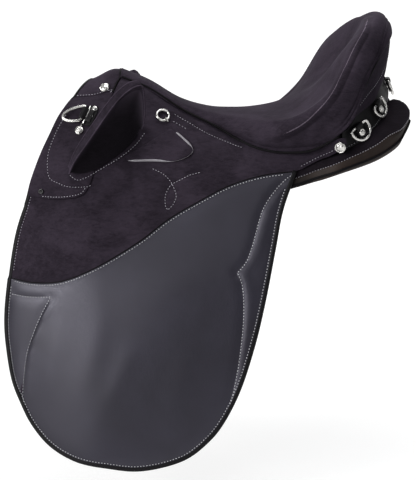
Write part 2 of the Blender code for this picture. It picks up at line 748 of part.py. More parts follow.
def arch_point(x, spread):
    """Point over the pommel, by its share of the half width, which is 0 on the centre line."""
    low = bend_level(x)
    height = curve(TOP_POINTS, x) - low
    s = (1 - spread ** ARCH_POWER) ** (1 / ARCH_POWER)
    out = bend_out(x)
    curl = FRONT_CURL * max(0, CURL_FROM - x) ** 2
    y = out * spread * (1 - FLAP_FLARE * height / out * s) - curl * (1 - s)
    return Vector((x, -y, low + height * s))


def arch_spread(x, z):
    """Share of the half width at a height over the pommel."""
    s = (z - bend_level(x)) / (curve(TOP_POINTS, x) - bend_level(x))
    return (1 - min(s, 1) ** ARCH_POWER) ** (1 / ARCH_POWER)


def arch_lifted(x, spread, lift):
    """An arch point moved along the arch's own normal."""
    d = 0.002
    low_spread = max(spread - d, 0)
    normal = (arch_point(x + d, spread) - arch_point(x - d, spread)).cross(
        arch_point(x, low_spread) - arch_point(x, spread + d))
    if spread == 0:
        normal.y = 0
    normal.normalize()
    if normal.z < 0:
        normal = -normal
    return arch_point(x, spread) + normal * lift


def head_top(x):
    """The tree over the pommel, from the centre line to the shoulder."""
    row = [arch_lifted(x, HEAD_SHOULDER * k / (DISH_STEPS + ROLL_STEPS), -HEAD_INSET)
           for k in range(DISH_STEPS + ROLL_STEPS + 1)]
    for p in row:
        p.x = x
    return row


def tree_row(top, walls, middle, centre):
    """A cross-section of the tree as an open path: over the top, round the foot and back underneath."""
    upper, high, low, foot = walls
    inner = [toward(p, Vector((min(p.x, centre.x), 0, 0)), BAR_THICKNESS) for p in (foot, low, upper)]
    inner[0].z += 0.001
    inner[2].z -= TREE_THICKNESS * 0.7
    mirror = Vector((middle.x, -middle.y, middle.z))
    under = through(inner + [middle, centre, mirror], UNDER_STEPS)[:-UNDER_STEPS]
    return top + walls + under


def make_tree():
    rows = []
    for x in (along(v) for v in HEAD_X):
        top = head_top(x)
        middle = arch_lifted(x, HEAD_SHOULDER / 2, -HEAD_INSET - TREE_THICKNESS * 1.3)
        centre = arch_lifted(x, 0, -HEAD_INSET - TREE_THICKNESS * 1.3)
        middle.x = centre.x = x
        rows.append(tree_row(top, side_controls(x, top[-1]), middle, centre))
    for t in SEAT_ROWS:
        c, r, e, *walls = tree_controls(t)
        centre = c - Vector((0, 0, TREE_THICKNESS))
        middle = c.lerp(r, 0.55)
        middle.z = min(middle.z, c.z) - TREE_THICKNESS
        rows.append(tree_row(seat_section(t, c, r, e), walls, middle, centre))
    columns = DISH_STEPS + ROLL_STEPS
    bm = grid(rows, split=columns)
    merge(bm, grid([[Vector((p.x, -p.y, p.z)) for p in row] for row in rows], split=columns))
    bmesh.ops.remove_doubles(bm, verts=bm.verts, dist=1e-5)
    bmesh.ops.contextual_create(bm, geom=[e for e in bm.edges if e.is_boundary])
    bmesh.ops.triangulate(bm, faces=[f for f in bm.faces if len(f.verts) > 4])
    bmesh.ops.recalc_face_normals(bm, faces=bm.faces)
    return finish("tree", bm, TREE_PLASTIC)


def make_gullet_plate():
    """Steel plate bent under the front of the tree's arch."""
    rows = []
    for x in (along(HEAD_X[0]) + 0.004, along(HEAD_X[0]) + 0.004 + GULLET_WIDTH):
        path = []
        for k in range(GULLET_STEPS + 1):
            spread = HEAD_SHOULDER * 0.9 * (1 - k / GULLET_STEPS)
            p = arch_lifted(x, spread, -HEAD_INSET - TREE_THICKNESS * 2.3)
            p.x = x
            path.append(p)
        rows.append(path + [Vector((p.x, -p.y, p.z)) for p in reversed(path[:-1])])
    bm = grid(rows)
    bmesh.ops.recalc_face_normals(bm, faces=bm.faces)
    bm.normal_update()
    bm.verts.index_update()
    half = GULLET_THICKNESS / 2
    solid = thicken(bm, lambda v: v.co - v.normal * half, lambda v: v.co + v.normal * half)
    bmesh.ops.recalc_face_normals(solid, faces=solid.faces)
    return finish("gullet_plate", solid, STEEL)


# Seat cover and padding

def make_seat_cover():
    sheet = mirrored_sheet(seat_rows())
    solid = thicken(sheet, lambda v: v.co - v.normal * COVER_LEATHER, lambda v: v.co.copy())
    return finish("seat_cover", solid, SUEDE)


def make_seat_foam():
    """Padding between the seat cover and the tree."""
    columns = DISH_STEPS + ROLL_STEPS - 1

    def key(p):
        return round(p.x, 5), round(abs(p.y), 5), round(p.z, 5)

    whole = mirrored_sheet(seat_rows())
    facing_out = {key(v.co): Vector((v.normal.x, -abs(v.normal.y), v.normal.z)) for v in whole.verts}
    whole.free()
    near_rows = [row[:columns] for row in seat_rows()]
    sheet = mirrored_sheet(near_rows)
    under = {}
    for t, row in zip(SEAT_ROWS, near_rows):
        for p, q in zip(row, seat_section(t, *tree_controls(t)[:3])):
            under[key(p)] = q

    def sided(v, p):
        return Vector((p.x, -p.y if v.co.y > 0 else p.y, p.z))

    def inner(v):
        return sided(v, under[key(v.co)] + facing_out[key(v.co)] * FOAM_LIFT)

    def outer(v):
        near = Vector((v.co.x, -abs(v.co.y), v.co.z))
        return sided(v, near - facing_out[key(v.co)] * (COVER_LEATHER + GAP))

    return finish("seat_foam", thicken(sheet, inner, outer), FOAM)


def make_binding():
    """Band round the back of the cantle, from the seat's edge to the top of the strip."""
    stations = [BINDING_START + k / STATION_STEPS for k in range(int((LAST_STATION - BINDING_START) * STATION_STEPS))]
    half = []
    for t in stations + [LAST_STATION]:
        edge = station(t)[2]
        angle = cantle_angle(edge)
        top = edge - Vector((0, 0, BINDING_SEAM))
        low, high = facing_heights(angle)
        lap = 1 - BINDING_LAP / (high - low)
        foot, inner_foot = (facing_point(angle, lap, -2 * GAP - thick) for thick in (BINDING_LEATHER, 0))
        inner_top = toward(top, facing_point(angle, 1, FACING_LEATHER), BINDING_LEATHER)
        half.append([top, top.lerp(foot, 0.5), foot, inner_foot, inner_top.lerp(inner_foot, 0.5), inner_top])
    rows = half + [[Vector((p.x, -p.y, p.z)) for p in row] for row in reversed(half[:-1])]
    return finish("cantle_binding", capped(rows), SUEDE)


def make_facing():
    """Smooth strip under the cantle that the rear dees are screwed through."""
    rows = []
    for k in range(FACING_STEPS + 1):
        angle = FACING_SWEEP * (2 * k / FACING_STEPS - 1)
        rows.append([facing_point(angle, up, inset)
                     for up, inset in ((0, 0), (1, 0), (1, FACING_LEATHER), (0, FACING_LEATHER))])
    return finish("rear_facing", capped(rows), BRIDLE)


# Panels

SWEAT_TO_PANEL = 0.019     # behind the sweat flap before the panel comes out to the flap
PANEL_FREE_OVER = 0.03
PANEL_SPREAD = 0.02        # how much a panel may stand out past the saddle's side at the back
SPREAD_FROM, SPREAD_OVER = 100, 0.05


def panel_ceiling(x, y):
    """Highest place of a panel under the strip round the cantle, or under the tree's bars."""
    if x < along(SEAT_STATIONS[SIDE_STATIONS][2][0]):
        under_bar = bend_out(x) - BAR_FOOT_RECESS - BAR_THICKNESS - PANEL_CLEARANCE
        return bar_foot(x) - PANEL_CLEARANCE if abs(y) > under_bar else 1
    place = Vector((x, -abs(y), 0))
    foot = facing_heights(cantle_angle(place))[0]
    reach = Vector(((x - CANTLE_CENTRE) / FACING_REACH, y / FACING_HALF_WIDTH)).length * FACING_REACH
    beyond = max(0, reach - FACING_REACH - FACING_LEAN)
    return foot - PANEL_CLEARANCE - PANEL_FALL * beyond ** 2


def panel_limit(x, z):
    """How far out a panel reaches inside the sweat flap and the flap, and free of them at the back."""
    behind_sweat = ease((x - along(SWEAT_EDGE[-1][0]) - SWEAT_TO_PANEL) / PANEL_FREE_OVER)
    under_leathers = (SWEAT_LEATHER + GIRTH_LEATHER + 2 * LAYER_GAP) * (1 - behind_sweat)
    spread = PANEL_SPREAD * ease((x - along(SPREAD_FROM)) / SPREAD_OVER)
    return side_out(x, z) - FLAP_LEATHER - PANEL_CLEARANCE - under_leathers + spread


def make_panel(side_name, side):
    """Stuffed panel beside the channel, thick under the cantle and thin under the flap."""
    rows = []
    stuffing = PANEL_STUFFING / DRAWN_STUFFING / 1000
    for x, out, up, half, above, below, tilt in through(PANEL_SECTIONS, 2):
        x, half, a = along(x), across(half), math.radians(tilt)
        out = across(out) + (CHANNEL - DRAWN_CHANNEL) / 2
        ring = []
        for k in range(PANEL_SIDES):
            b = 2 * math.pi * k / PANEL_SIDES
            u = half * math.copysign(abs(math.cos(b)) ** (2 / PANEL_POWER), math.cos(b))
            v = math.copysign(abs(math.sin(b)) ** (2 / PANEL_POWER), math.sin(b))
            thick = (above if v > 0 else below) * stuffing * v
            y, z = out + u * math.cos(a) + thick * math.sin(a), level(up) - u * math.sin(a) + thick * math.cos(a)
            z = min(z, panel_ceiling(x, y))
            ring.append(Vector((x, -min(y, panel_limit(x, z)), z)))
        rows.append(ring)
    return finish("panel_" + side_name, capped(rows), BRIDLE, side, 60)


# Pommel

def head_corner(share):
    """Front and back of the head cover at a share of the way down its side: along and spread of each."""
    front_low = arch_spread(along(HEAD_COVER_FRONT[0]), level(HEAD_COVER_FRONT[1]))
    back_low = arch_spread(along(HEAD_COVER_BACK[0]), level(HEAD_COVER_BACK[1]))
    top_x = along(FRONT_EDGE[0][0])
    back_x = along(SEAT_STATIONS[0][0][0]) - 2 * GAP
    front = top_x + (along(HEAD_COVER_FRONT[0]) - top_x) * share ** 1.6
    seat_end = arch_spread(back_x, level(SEAT_STATIONS[0][2][2])) / back_low
    back = back_x + (along(HEAD_COVER_BACK[0]) - back_x) * max(share - seat_end, 0) / (1 - seat_end)
    return front, front_low * share, back, back_low * share


def head_low_edge():
    """Points on the lower edge of the head cover, from front to back."""
    front, front_spread, back, back_spread = head_corner(1)
    shares = [k / HEAD_STEPS for k in range(HEAD_STEPS + 1)]
    return [arch_point(front + (back - front) * v, front_spread + (back_spread - front_spread) * v) for v in shares]


def make_head_cover():
    rows = []
    for j in range(HEAD_STEPS + 1):
        front, front_spread, back, back_spread = head_corner(j / HEAD_STEPS)
        rows.append([
            (front + (back - front) * k / HEAD_STEPS, front_spread + (back_spread - front_spread) * k / HEAD_STEPS)
            for k in range(HEAD_STEPS + 1)
        ])

    def layer(lift):
        near = [[arch_lifted(x, spread, lift) for x, spread in row] for row in rows]
        off = [[Vector((p.x, -p.y, p.z)) for p in row] for row in reversed(near[1:])]
        return off + near

    high, low = layer(0), layer(-COVER_LEATHER)
    bm = grid([row + list(reversed(under)) for row, under in zip(high, low)], closed=True)
    for ring in (0, -1):
        bm.verts.ensure_lookup_table()
        count = 2 * (HEAD_STEPS + 1)
        start = 0 if ring == 0 else len(bm.verts) - count
        for k in range(HEAD_STEPS):
            a, b = bm.verts[start + k], bm.verts[start + k + 1]
            c, d = bm.verts[start + count - 2 - k], bm.verts[start + count - 1 - k]
            bm.faces.new((a, b, c, d))
    bmesh.ops.recalc_face_normals(bm, faces=bm.faces)
    return finish("head_cover", bm, SUEDE)


def smooth_outline(points, steps=2):
    return [(p[0], p[1]) for p in through(graded(points), steps)]


def front_run(top, foot):
    """The front edge of the saddle between two heights, in metres."""
    points = smooth_outline(FRONT_EDGE, 2)
    return [p for p in points if foot < p[1] < top]


def make_yoke(side_name, side):
    """Patch beside the pommel that the front dee is fixed to."""
    top = [(p.x, p.z - 2 * GAP) for p in head_low_edge()]
    foot = smooth_outline(YOKE_FOOT)
    back = smooth_outline(((1000 * top[-1][0] * DRAWN_LENGTH / SEAT_LENGTH, YOKE_BACK[0][1]),) + YOKE_BACK[1:])
    outline = list(reversed(top)) + front_run(top[0][1] - LEAST_STEP, foot[-1][1] + LEAST_STEP) + list(reversed(foot))
    outline += list(reversed([p for p in back if foot[0][1] + LEAST_STEP < p[1] < top[-1][1] - 1.4 * LEAST_STEP]))
    return side_sheet("yoke_" + side_name, outline, 2 * GAP, 2 * GAP + YOKE_LEATHER, SUEDE, side)


# Flaps

def bend_run(x0, x1, rise):
    """The line that a flap bends along, in steps, moved up by a rise."""
    count = 12
    return [(x0 + (x1 - x0) * k / count, bend_level(x0 + (x1 - x0) * k / count) + rise) for k in range(count + 1)]


def make_flap_head(side_name, side):
    """The fixed upper part of a flap, nailed to the tree under the seat's roll."""
    top = [(p.x, p.z - 2 * GAP) for p in head_low_edge()]
    rear = smooth_outline(HEAD_REAR_EDGE)
    crease = []
    for x, z in smooth_outline(CREASE):
        tucked = ease((x - along(TUCK_FROM)) / TUCK_FADES) * (1 - ease((x - along(TUCK_TO)) / TUCK_FADES))
        crease.append((x, z + CREASE_TUCK * tucked))
    front_x0 = along(FRONT_EDGE[-1][0])
    outline = list(reversed(top)) + front_run(top[0][1] - LEAST_STEP, bend_level(front_x0) + 1.4 * LEAST_STEP)
    outline += bend_run(front_x0, rear[-1][0], GAP)
    outline += list(reversed(rear[:-1])) + list(reversed(crease))
    window = [tuple(along(v) for v in STIRRUP_WINDOW[0]), tuple(level(v) for v in STIRRUP_WINDOW[1])]
    return side_sheet("flap_head_" + side_name, outline, -FLAP_LEATHER, 0, SUEDE, side, window)


def flap_edge():
    return smooth_outline(FLAP_EDGE)


def bend_axis(side):
    """Point and direction of the line that a flap bends along, on its outer face."""
    d = Vector((1, -BEND_SPLAY, BEND_RISE)).normalized()
    point = Vector((0, -BEND_HALF_WIDTH, BEND_LEVEL))
    if side > 0:
        point.y, d.y = -point.y, -d.y
    return point, d


def turned_frame(direction, normal):
    """A frame whose X lies along a direction and whose Z is close to a normal."""
    x = direction.normalized()
    y = normal.cross(x).normalized()
    return Matrix((x, y, x.cross(y))).transposed()


def make_flap(side_name, side):
    edge = flap_edge()
    outline = edge[:-1] + list(reversed(bend_run(edge[0][0], edge[-1][0], -GAP)))
    flap = side_sheet("flap_" + side_name, outline, -FLAP_LEATHER, 0, SUEDE, side, z_lines=())
    point, d = bend_axis(side)
    set_origin(flap, point, turned_frame(d, Vector((0, side, 0))))

    seam = smooth_outline(FLAP_SEAM)
    lower = [p for p in edge[:-1] if p[1] < seam[0][1] - LEAST_STEP or p[0] > seam[2][0]]
    outline = list(seam) + list(reversed(lower))
    panel = side_sheet(
        "flap_panel_" + side_name, outline, GAP, GAP + PANEL_LEATHER, SMOOTH, side, z_lines=())
    panel.parent = flap
    panel.matrix_parent_inverse = flap.matrix_world.inverted()
    return flap


def make_sweat_flap(side_name, side):
    """The under flap that keeps the girth points off the horse."""
    outer = -(FLAP_LEATHER + 2 * LAYER_GAP + GIRTH_LEATHER)
    edge = smooth_outline(SWEAT_EDGE)
    x0, x1 = edge[0][0], edge[-1][0]
    top = [(x0 + (x1 - x0) * k / 10, bend_level(x0 + (x1 - x0) * k / 10) - 0.003) for k in range(11)]
    outline = [p for p in edge if p[1] < bend_level(p[0]) - 0.006] + list(reversed(top))
    return side_sheet("sweat_flap_" + side_name, outline, outer - SWEAT_LEATHER, outer, BRIDLE, side, z_lines=())


def hang_point(x, z, lift):
    """Point on the flat plane that the flap hangs in, continued over its bend."""
    normal = Vector((-BEND_SPLAY - FLAP_FLARE * BEND_RISE, -1, FLAP_FLARE)).normalized()
    return Vector((x, -(bend_out(x) + FLAP_FLARE * (bend_level(x) - z)), z)) + normal * lift, normal


def make_girth_point(place, centre_mm, side_name, side):
    """Strap with holes that the girth buckles to, turning a little on its nail."""
    x = along(centre_mm)
    top = bend_level(x) + 0.009
    foot = top - GIRTH_POINT_LENGTH
    half = GIRTH_POINT_WIDTH / 2
    outline = [(x - half, top), (x + half, top), (x + half, foot + half), (x + half * 0.6, foot + half * 0.3),
               (x, foot), (x - half * 0.6, foot + half * 0.3), (x - half, foot + half)]
    outer = -(FLAP_LEATHER + LAYER_GAP)
    bm = bmesh.new()
    ring = [bm.verts.new(hang_point(px, pz, outer)[0]) for px, pz in outline]
    face = bm.faces.new(ring)
    normal = hang_point(x, top, 0)[1]
    moved = bmesh.ops.extrude_face_region(bm, geom=[face])
    for v in moved["geom"]:
        if isinstance(v, bmesh.types.BMVert):
            v.co -= normal * GIRTH_LEATHER
    bmesh.ops.recalc_face_normals(bm, faces=bm.faces)
    name = f"girth_point_{place}_{side_name}"
    strap = finish(name, bm, BRIDLE, side)

    holes = bmesh.new()
    for k in range(GIRTH_POINT_HOLES):
        at = hang_point(x, foot + 0.030 + k * GIRTH_HOLE_PITCH, outer - GIRTH_LEATHER / 2)[0]
        rest = Vector((0, 0, 1)).rotation_difference(normal).to_matrix().to_4x4()
        bmesh.ops.create_cone(
            holes, cap_ends=True, segments=8, radius1=GIRTH_HOLE / 2, radius2=GIRTH_HOLE / 2,
            depth=GIRTH_LEATHER * 3, matrix=Matrix.Translation(at) @ rest)
    punch = finish(name + "_punch", holes, BRIDLE, side)
    combine(strap, punch, "DIFFERENCE")
    pivot = hang_point(x, bend_level(x) + 0.003, outer)[0]
    axis = normal.copy()
    if side > 0:
        pivot.y, axis.y = -pivot.y, -axis.y
    set_origin(strap, pivot, turned_frame(axis, Vector((0, 0, 1))))
    return strap


def make_skirt(side_name, side):
    """Small flap over the stirrup bar, lifted about its upper front edge."""
    lift = 2 * GAP
    hinge_low, hinge_high, *rest = graded(SKIRT_CORNERS)
    hinge = [(hinge_low[0] + (hinge_high[0] - hinge_low[0]) * k / 4,
              hinge_low[1] + (hinge_high[1] - hinge_low[1]) * k / 4) for k in range(5)]
    outline = hinge + [(p[0], p[1]) for p in through(rest, 2)]
    skirt = side_sheet("skirt_" + side_name, outline, lift, lift + SKIRT_LEATHER, SUEDE, side)
    a, b = (on_side(x, z, lift + SKIRT_LEATHER) for x, z in (hinge_low, hinge_high))
    if side > 0:
        a.y, b.y = -a.y, -b.y
    set_origin(skirt, a, turned_frame(b - a, Vector((0, side, 0))))
    return skirt


YOKE_CLEAR, YOKE_FADES = 0.004, 0.02    # behind the yoke's edge before the pad comes down to the flap
PAD_END = 0.08             # share of a half sine at which the pad begins and ends, which rounds it

# Round the pad from its front foot to its rear foot: share of the rise, of the half foot and of the edge, hollowing
PAD_RING = (
    (0.4, -0.6, 0, 0.2), (0.8, -0.2, 0, 0.2), (0.97, 0, -0.03, 1), (1, 0, 0.12, 1),
    (1, 0, 0.88, 1), (0.97, 0, 1.03, 1), (0.8, 0, 1, 1), (0.4, 0.5, 0.5, 1),
)


def make_knee_pad(side_name, side):
    """Raised pad in front of the thigh: a stuffed fin between its seam and its free edge."""
    base = through(graded(PAD_BASE), PAD_STEPS)
    span = len(base) - 1
    edge = through([(along(x), -across(y), level(z)) for x, y, z in PAD_EDGE], PAD_STEPS)
    rows = []
    back = smooth_outline(YOKE_BACK)

    def seat_lift(x, z):
        """Over the yoke in front, and down to the flap behind it."""
        yoke_end = curve(sorted((pz, px) for px, pz in back), z)
        return 3 * GAP + YOKE_LEATHER * (1 - ease((x - yoke_end - YOKE_CLEAR) / YOKE_FADES))

    for i, (bx, bz) in enumerate(base):
        k = i / span * (len(edge) - 1)
        free = edge[int(k)].lerp(edge[min(int(k) + 1, len(edge) - 1)], k % 1)
        before, after = base[max(i - 1, 0)], base[min(i + 1, span)]
        run = Vector((after[0] - before[0], after[1] - before[1])).normalized()
        end = math.sin(math.pi * (PAD_END + (1 - 2 * PAD_END) * i / span)) ** 0.5
        half = PAD_BASE_WIDTH / 2 * end
        front, rear, middle = (
            on_side(x, z, seat_lift(x, z)) for x, z in
            ((bx - run.y * half, bz + run.x * half), (bx + run.y * half, bz - run.x * half), (bx, bz))
        )
        rise = free - middle
        through_pad = (rear - front).normalized()
        through_pad = (through_pad - rise.normalized() * through_pad.dot(rise.normalized())).normalized()
        wide = PAD_FOOT_WIDTH + (PAD_TIP_WIDTH - PAD_FOOT_WIDTH) * ease(2 * i / span)
        wide *= end
        hollow = PAD_HOLLOW * end * min(rise.length / PAD_FULL_AT, 1)
        ring = [front]
        for v, of_foot, of_edge, hollowed in PAD_RING:
            push = half * of_foot + wide * of_edge - hollow * hollowed * math.sin(math.pi * v)
            ring.append(middle + rise * v + through_pad * push)
        rows.append(ring + [rear, middle])
    return finish("knee_pad_" + side_name, capped(rows), SUEDE, side, 60)


# Metal fittings

def mirror_frame(origin, axes, side):
    """The near side's origin and axes, or those of the off side."""
    if side < 0:
        return origin, axes
    return Vector((origin.x, -origin.y, origin.z)), [Vector((a.x, -a.y, a.z)) for a in axes]


def side_frame(place, lift, direction):
    """Origin and axes on the side of the saddle: along a direction on it, the way across and the normal."""
    x, z = along(place[0]), level(place[1])
    dx, dz = along(direction[0]) / 20, level(direction[1]) / 20
    way = (on_side(x + dx, z + dz) - on_side(x - dx, z - dz)).normalized()
    normal = side_normal(x, z)
    way = (way - normal * way.dot(normal)).normalized()
    return on_side(x, z, lift), [way, normal.cross(way), normal]


def extruded(rows):
    """A solid between two equal flat outlines."""
    bm = grid(rows, closed=True)
    bm.verts.ensure_lookup_table()
    count = len(rows[0])
    for start in (0, count):
        bm.faces.new([bm.verts[start + k] for k in range(count)])
    bmesh.ops.recalc_face_normals(bm, faces=bm.faces)
    return bm


def turned(name, profile, origin, axis, made_of, sides=12):
    """A round piece from a profile of (radius, height) pairs about an axis."""
    turn = Vector((0, 0, 1)).rotation_difference(axis).to_matrix()
    rows = []
    for radius, height in profile:
        rows.append([
            origin + turn @ Vector((radius * math.cos(a), radius * math.sin(a), height))
            for a in (2 * math.pi * k / sides for k in range(sides))
        ])
    return finish(name, capped(rows), made_of)


def stud_profile(diameter, height, flat=0.35):
    """A low dome with a small rim."""
    r = diameter / 2
    return [(r * 0.94, 0), (r, height * 0.12), (r, height * 0.28), (r * 0.9, height * 0.55), (r * 0.66, height * 0.82),
            (r * flat, height)]


def make_side_stud(name, place, diameter, height, made_of, side, lift):
    origin, axes = side_frame(place, lift, (1, 0))
    origin, (normal,) = mirror_frame(origin, axes[2:], side)
    return turned(name, stud_profile(diameter, height), origin, normal, made_of)


def dee_path(origin, bar, loop, width, depth):
    """Middle line of a dee: a straight bar and a round bow."""
    half, deep = (width - DEE_WIRE) / 2, depth - DEE_WIRE
    corner = DEE_WIRE * 0.9
    points = [(-half + corner, 0), (0, 0), (half - corner, 0), (half - corner * 0.25, corner * 0.3)]
    for k in range(9):
        a = math.pi * k / 8
        points.append((half * math.cos(a), corner + (deep - corner) * math.sin(a) ** 0.9))
    points.append((-half + corner * 0.25, corner * 0.3))
    return [origin + bar * u + loop * v for u, v in points]


def make_dee(name, origin, axes, width, depth, slant=0):
    bar, loop, normal = axes
    bow = loop * math.cos(math.radians(slant)) + bar * math.sin(math.radians(slant))
    dee = finish(name, tube(dee_path(origin, bar, bow, width, depth), DEE_WIRE / 2, normal), STEEL)
    set_origin(dee, origin, turned_frame(bar, normal))
    return dee


def clip_reach():
    """From the middle of a dee's bar to the back of its clip."""
    return DEE_WIRE / 2 + WIRE_CLEARANCE + CLIP_METAL


def make_clip(name, origin, axes, width, plate_way, screws, plate=None):
    """Metal clip folded round a dee's bar, with its screw heads along it and, if given, a wider screwed plate."""
    bar, loop, normal = axes
    loop = loop * plate_way
    outer = clip_reach()
    inner = outer - CLIP_METAL
    arcs = [math.radians(180 - 220 * k / 9) for k in range(10)]
    profile = [(-outer, CLIP_LENGTH)]
    profile += [(outer * math.cos(a), -outer * math.sin(a)) for a in arcs]
    profile += [(inner * math.cos(a), -inner * math.sin(a)) for a in reversed(arcs)]
    profile.append((-inner, CLIP_LENGTH))
    rows = [[origin + normal * u + loop * v + bar * w for u, v in profile] for w in (-width / 2, width / 2)]
    clip = finish(name, extruded(rows), STEEL)
    if plate:
        rim = [(-outer - 0.0001, PLATE_FROM), (-inner + 0.0001, PLATE_FROM),
               (-inner + 0.0001, CLIP_LENGTH + 0.001), (-outer - 0.0001, CLIP_LENGTH + 0.001)]
        rows = [[origin + normal * u + loop * v + bar * w for u, v in rim] for w in plate]
        combine(clip, finish(name + "_plate", extruded(rows), STEEL), "UNION")
    for number, place in enumerate(screws):
        at = origin - normal * (inner + CLIP_METAL * 0.4) + loop * (CLIP_LENGTH - SCREW_HEAD / 2 - 0.0008)
        at += bar * place
        head = turned(f"{name}_screw_{number}", stud_profile(SCREW_HEAD, SCREW_HEIGHT), at, normal, STEEL)
        combine(clip, head, "UNION")


def make_rear_dee(number, angle, height, side_name, side):
    low, high = facing_heights(angle)
    up = (level(height) - low) / (high - low)
    middle = facing_point(angle, up, 0)
    foot = facing_point(angle, 0, 0)
    ahead, behind = facing_point(angle - 2, up, 0), facing_point(angle + 2, up, 0)
    bar = (ahead - behind).normalized()
    normal = bar.cross((facing_point(angle, 1, 0) - foot).normalized()).normalized()
    if normal.dot(middle - Vector((CANTLE_CENTRE, 0, middle.z))) < 0:
        normal = -normal
    down = bar.cross(normal).normalized()
    if down.z > 0:
        down = -down
    origin = middle + normal * (clip_reach() + GAP + 0.0006)
    origin, axes = mirror_frame(origin, [bar, down, normal], side)
    make_dee(f"rear_dee_{number}_{side_name}", origin, axes, REAR_DEE_WIDTH, REAR_DEE_DEPTH)
    make_clip(f"rear_dee_clip_{number}_{side_name}", origin, axes, CLIP_WIDTH, 1, (0,))


def make_front_dee(side_name, side):
    lift = 2 * GAP + YOKE_LEATHER + GAP + 0.0008 + clip_reach()
    origin, (bar, loop, normal) = side_frame(FRONT_DEE_AT, lift, FRONT_DEE_BAR)
    if loop.x > 0:
        loop = -loop
    origin, axes = mirror_frame(origin, [bar, loop, normal], side)
    make_dee("front_dee_" + side_name, origin, axes, FRONT_DEE_WIDTH, FRONT_DEE_DEPTH, FRONT_DEE_SLANT)
    half = FRONT_PLATE_WIDTH / 2
    screws = [FRONT_SCREWS * way - FRONT_PLATE_SHIFT for way in (-1, 1)]
    plate = (-half - FRONT_PLATE_SHIFT, half - FRONT_PLATE_SHIFT)
    make_clip("front_dee_clip_" + side_name, origin, axes, FRONT_CLIP_WIDTH, -1, screws, plate)


def make_side_ring(side_name, side):
    """Ring behind the knee pad, turning in its staple."""
    radius = (RING_OUTER - RING_WIRE) / 2
    lift = RING_WIRE / 2 + RING_LIFT
    centre, (away, over, normal) = side_frame(SIDE_RING_AT, lift, RING_TO_STAPLE)
    held = centre + away * radius
    centre, (away, over, normal, held_way) = mirror_frame(centre, [away, over, normal, held - centre], side)
    held = centre + held_way
    path = [centre + away * radius * math.cos(a) + over * radius * math.sin(a)
            for a in (2 * math.pi * k / 20 for k in range(20))]
    ring = finish("side_ring_" + side_name, tube(path, RING_WIRE / 2, normal), STEEL)
    set_origin(ring, held, turned_frame(over, normal))

    bow = RING_WIRE / 2 + WIRE_CLEARANCE * 1.5 + STAPLE_WIRE / 2
    drop = lift - 1.5 * GAP
    arch = [held - away * bow - normal * drop]
    arch += [held - away * bow * math.cos(a) + normal * bow * math.sin(a) for a in (math.pi * k / 8 for k in range(9))]
    arch.append(held + away * bow - normal * drop)
    finish("ring_staple_" + side_name, rod(arch, STAPLE_WIRE / 2, over), STEEL)


# Stirrup bars

def make_stirrup_bar(side_name, side):
    """Forged bar on the tree, open to the back, and the catch that closes it."""
    x, z = along(STIRRUP_BAR_AT[0]), level(STIRRUP_BAR_AT[1])
    face = Vector((x, -stirrup_face(x), z))
    run = Vector((1, -BEND_SPLAY, 0)).normalized()
    out = Vector((-BEND_SPLAY, -1, 0)).normalized()
    up = Vector((0, 0, 1))
    half = STIRRUP_BAR_LENGTH / 2
    t, g, p = STIRRUP_BAR_THICKNESS, STIRRUP_BAR_GAP, STIRRUP_PLATE
    deep = t + g + p
    bend = deep / 2
    bar_end = half - CATCH_ROOM
    profile = [(half, -deep)]
    profile += [(-half + bend - bend * math.sin(a), -bend - bend * math.cos(a))
                for a in (math.pi * k / 8 for k in range(9))]
    profile += [(bar_end - 0.002, 0), (bar_end, -0.002), (bar_end, -t)]
    inner = g / 2
    profile += [(-half + bend - inner * math.sin(a), -t - inner + inner * math.cos(a))
                for a in (math.pi * k / 6 for k in range(7))]
    profile.append((half, -deep + p))
    rows = [[face + run * u + out * v + up * w for u, v in profile]
            for w in (-STIRRUP_BAR_WIDTH / 2, STIRRUP_BAR_WIDTH / 2)]
    finish("stirrup_bar_" + side_name, extruded(rows), STEEL, side)

    pin = face + run * (half - CATCH_ROOM / 2) + out * (p + CATCH_KNUCKLE + GAP - deep)
    reach = deep - p - CATCH_KNUCKLE - 0.0008
    profile = [(CATCH_KNUCKLE * math.cos(a), CATCH_KNUCKLE * math.sin(a))
               for a in (math.pi + math.pi * k / 8 for k in range(9))]
    profile += [(CATCH_KNUCKLE, reach - CATCH_KNUCKLE), (CATCH_KNUCKLE * 0.5, reach), (-CATCH_KNUCKLE * 0.5, reach),
                (-CATCH_KNUCKLE, reach - CATCH_KNUCKLE)]
    rows = [[pin + run * u + out * v + up * w for u, v in profile] for w in (-CATCH_HEIGHT / 2, CATCH_HEIGHT / 2)]
    catch = finish("stirrup_catch_" + side_name, extruded(rows), STEEL, side)
    pin.y *= -side
    set_origin(catch, pin)


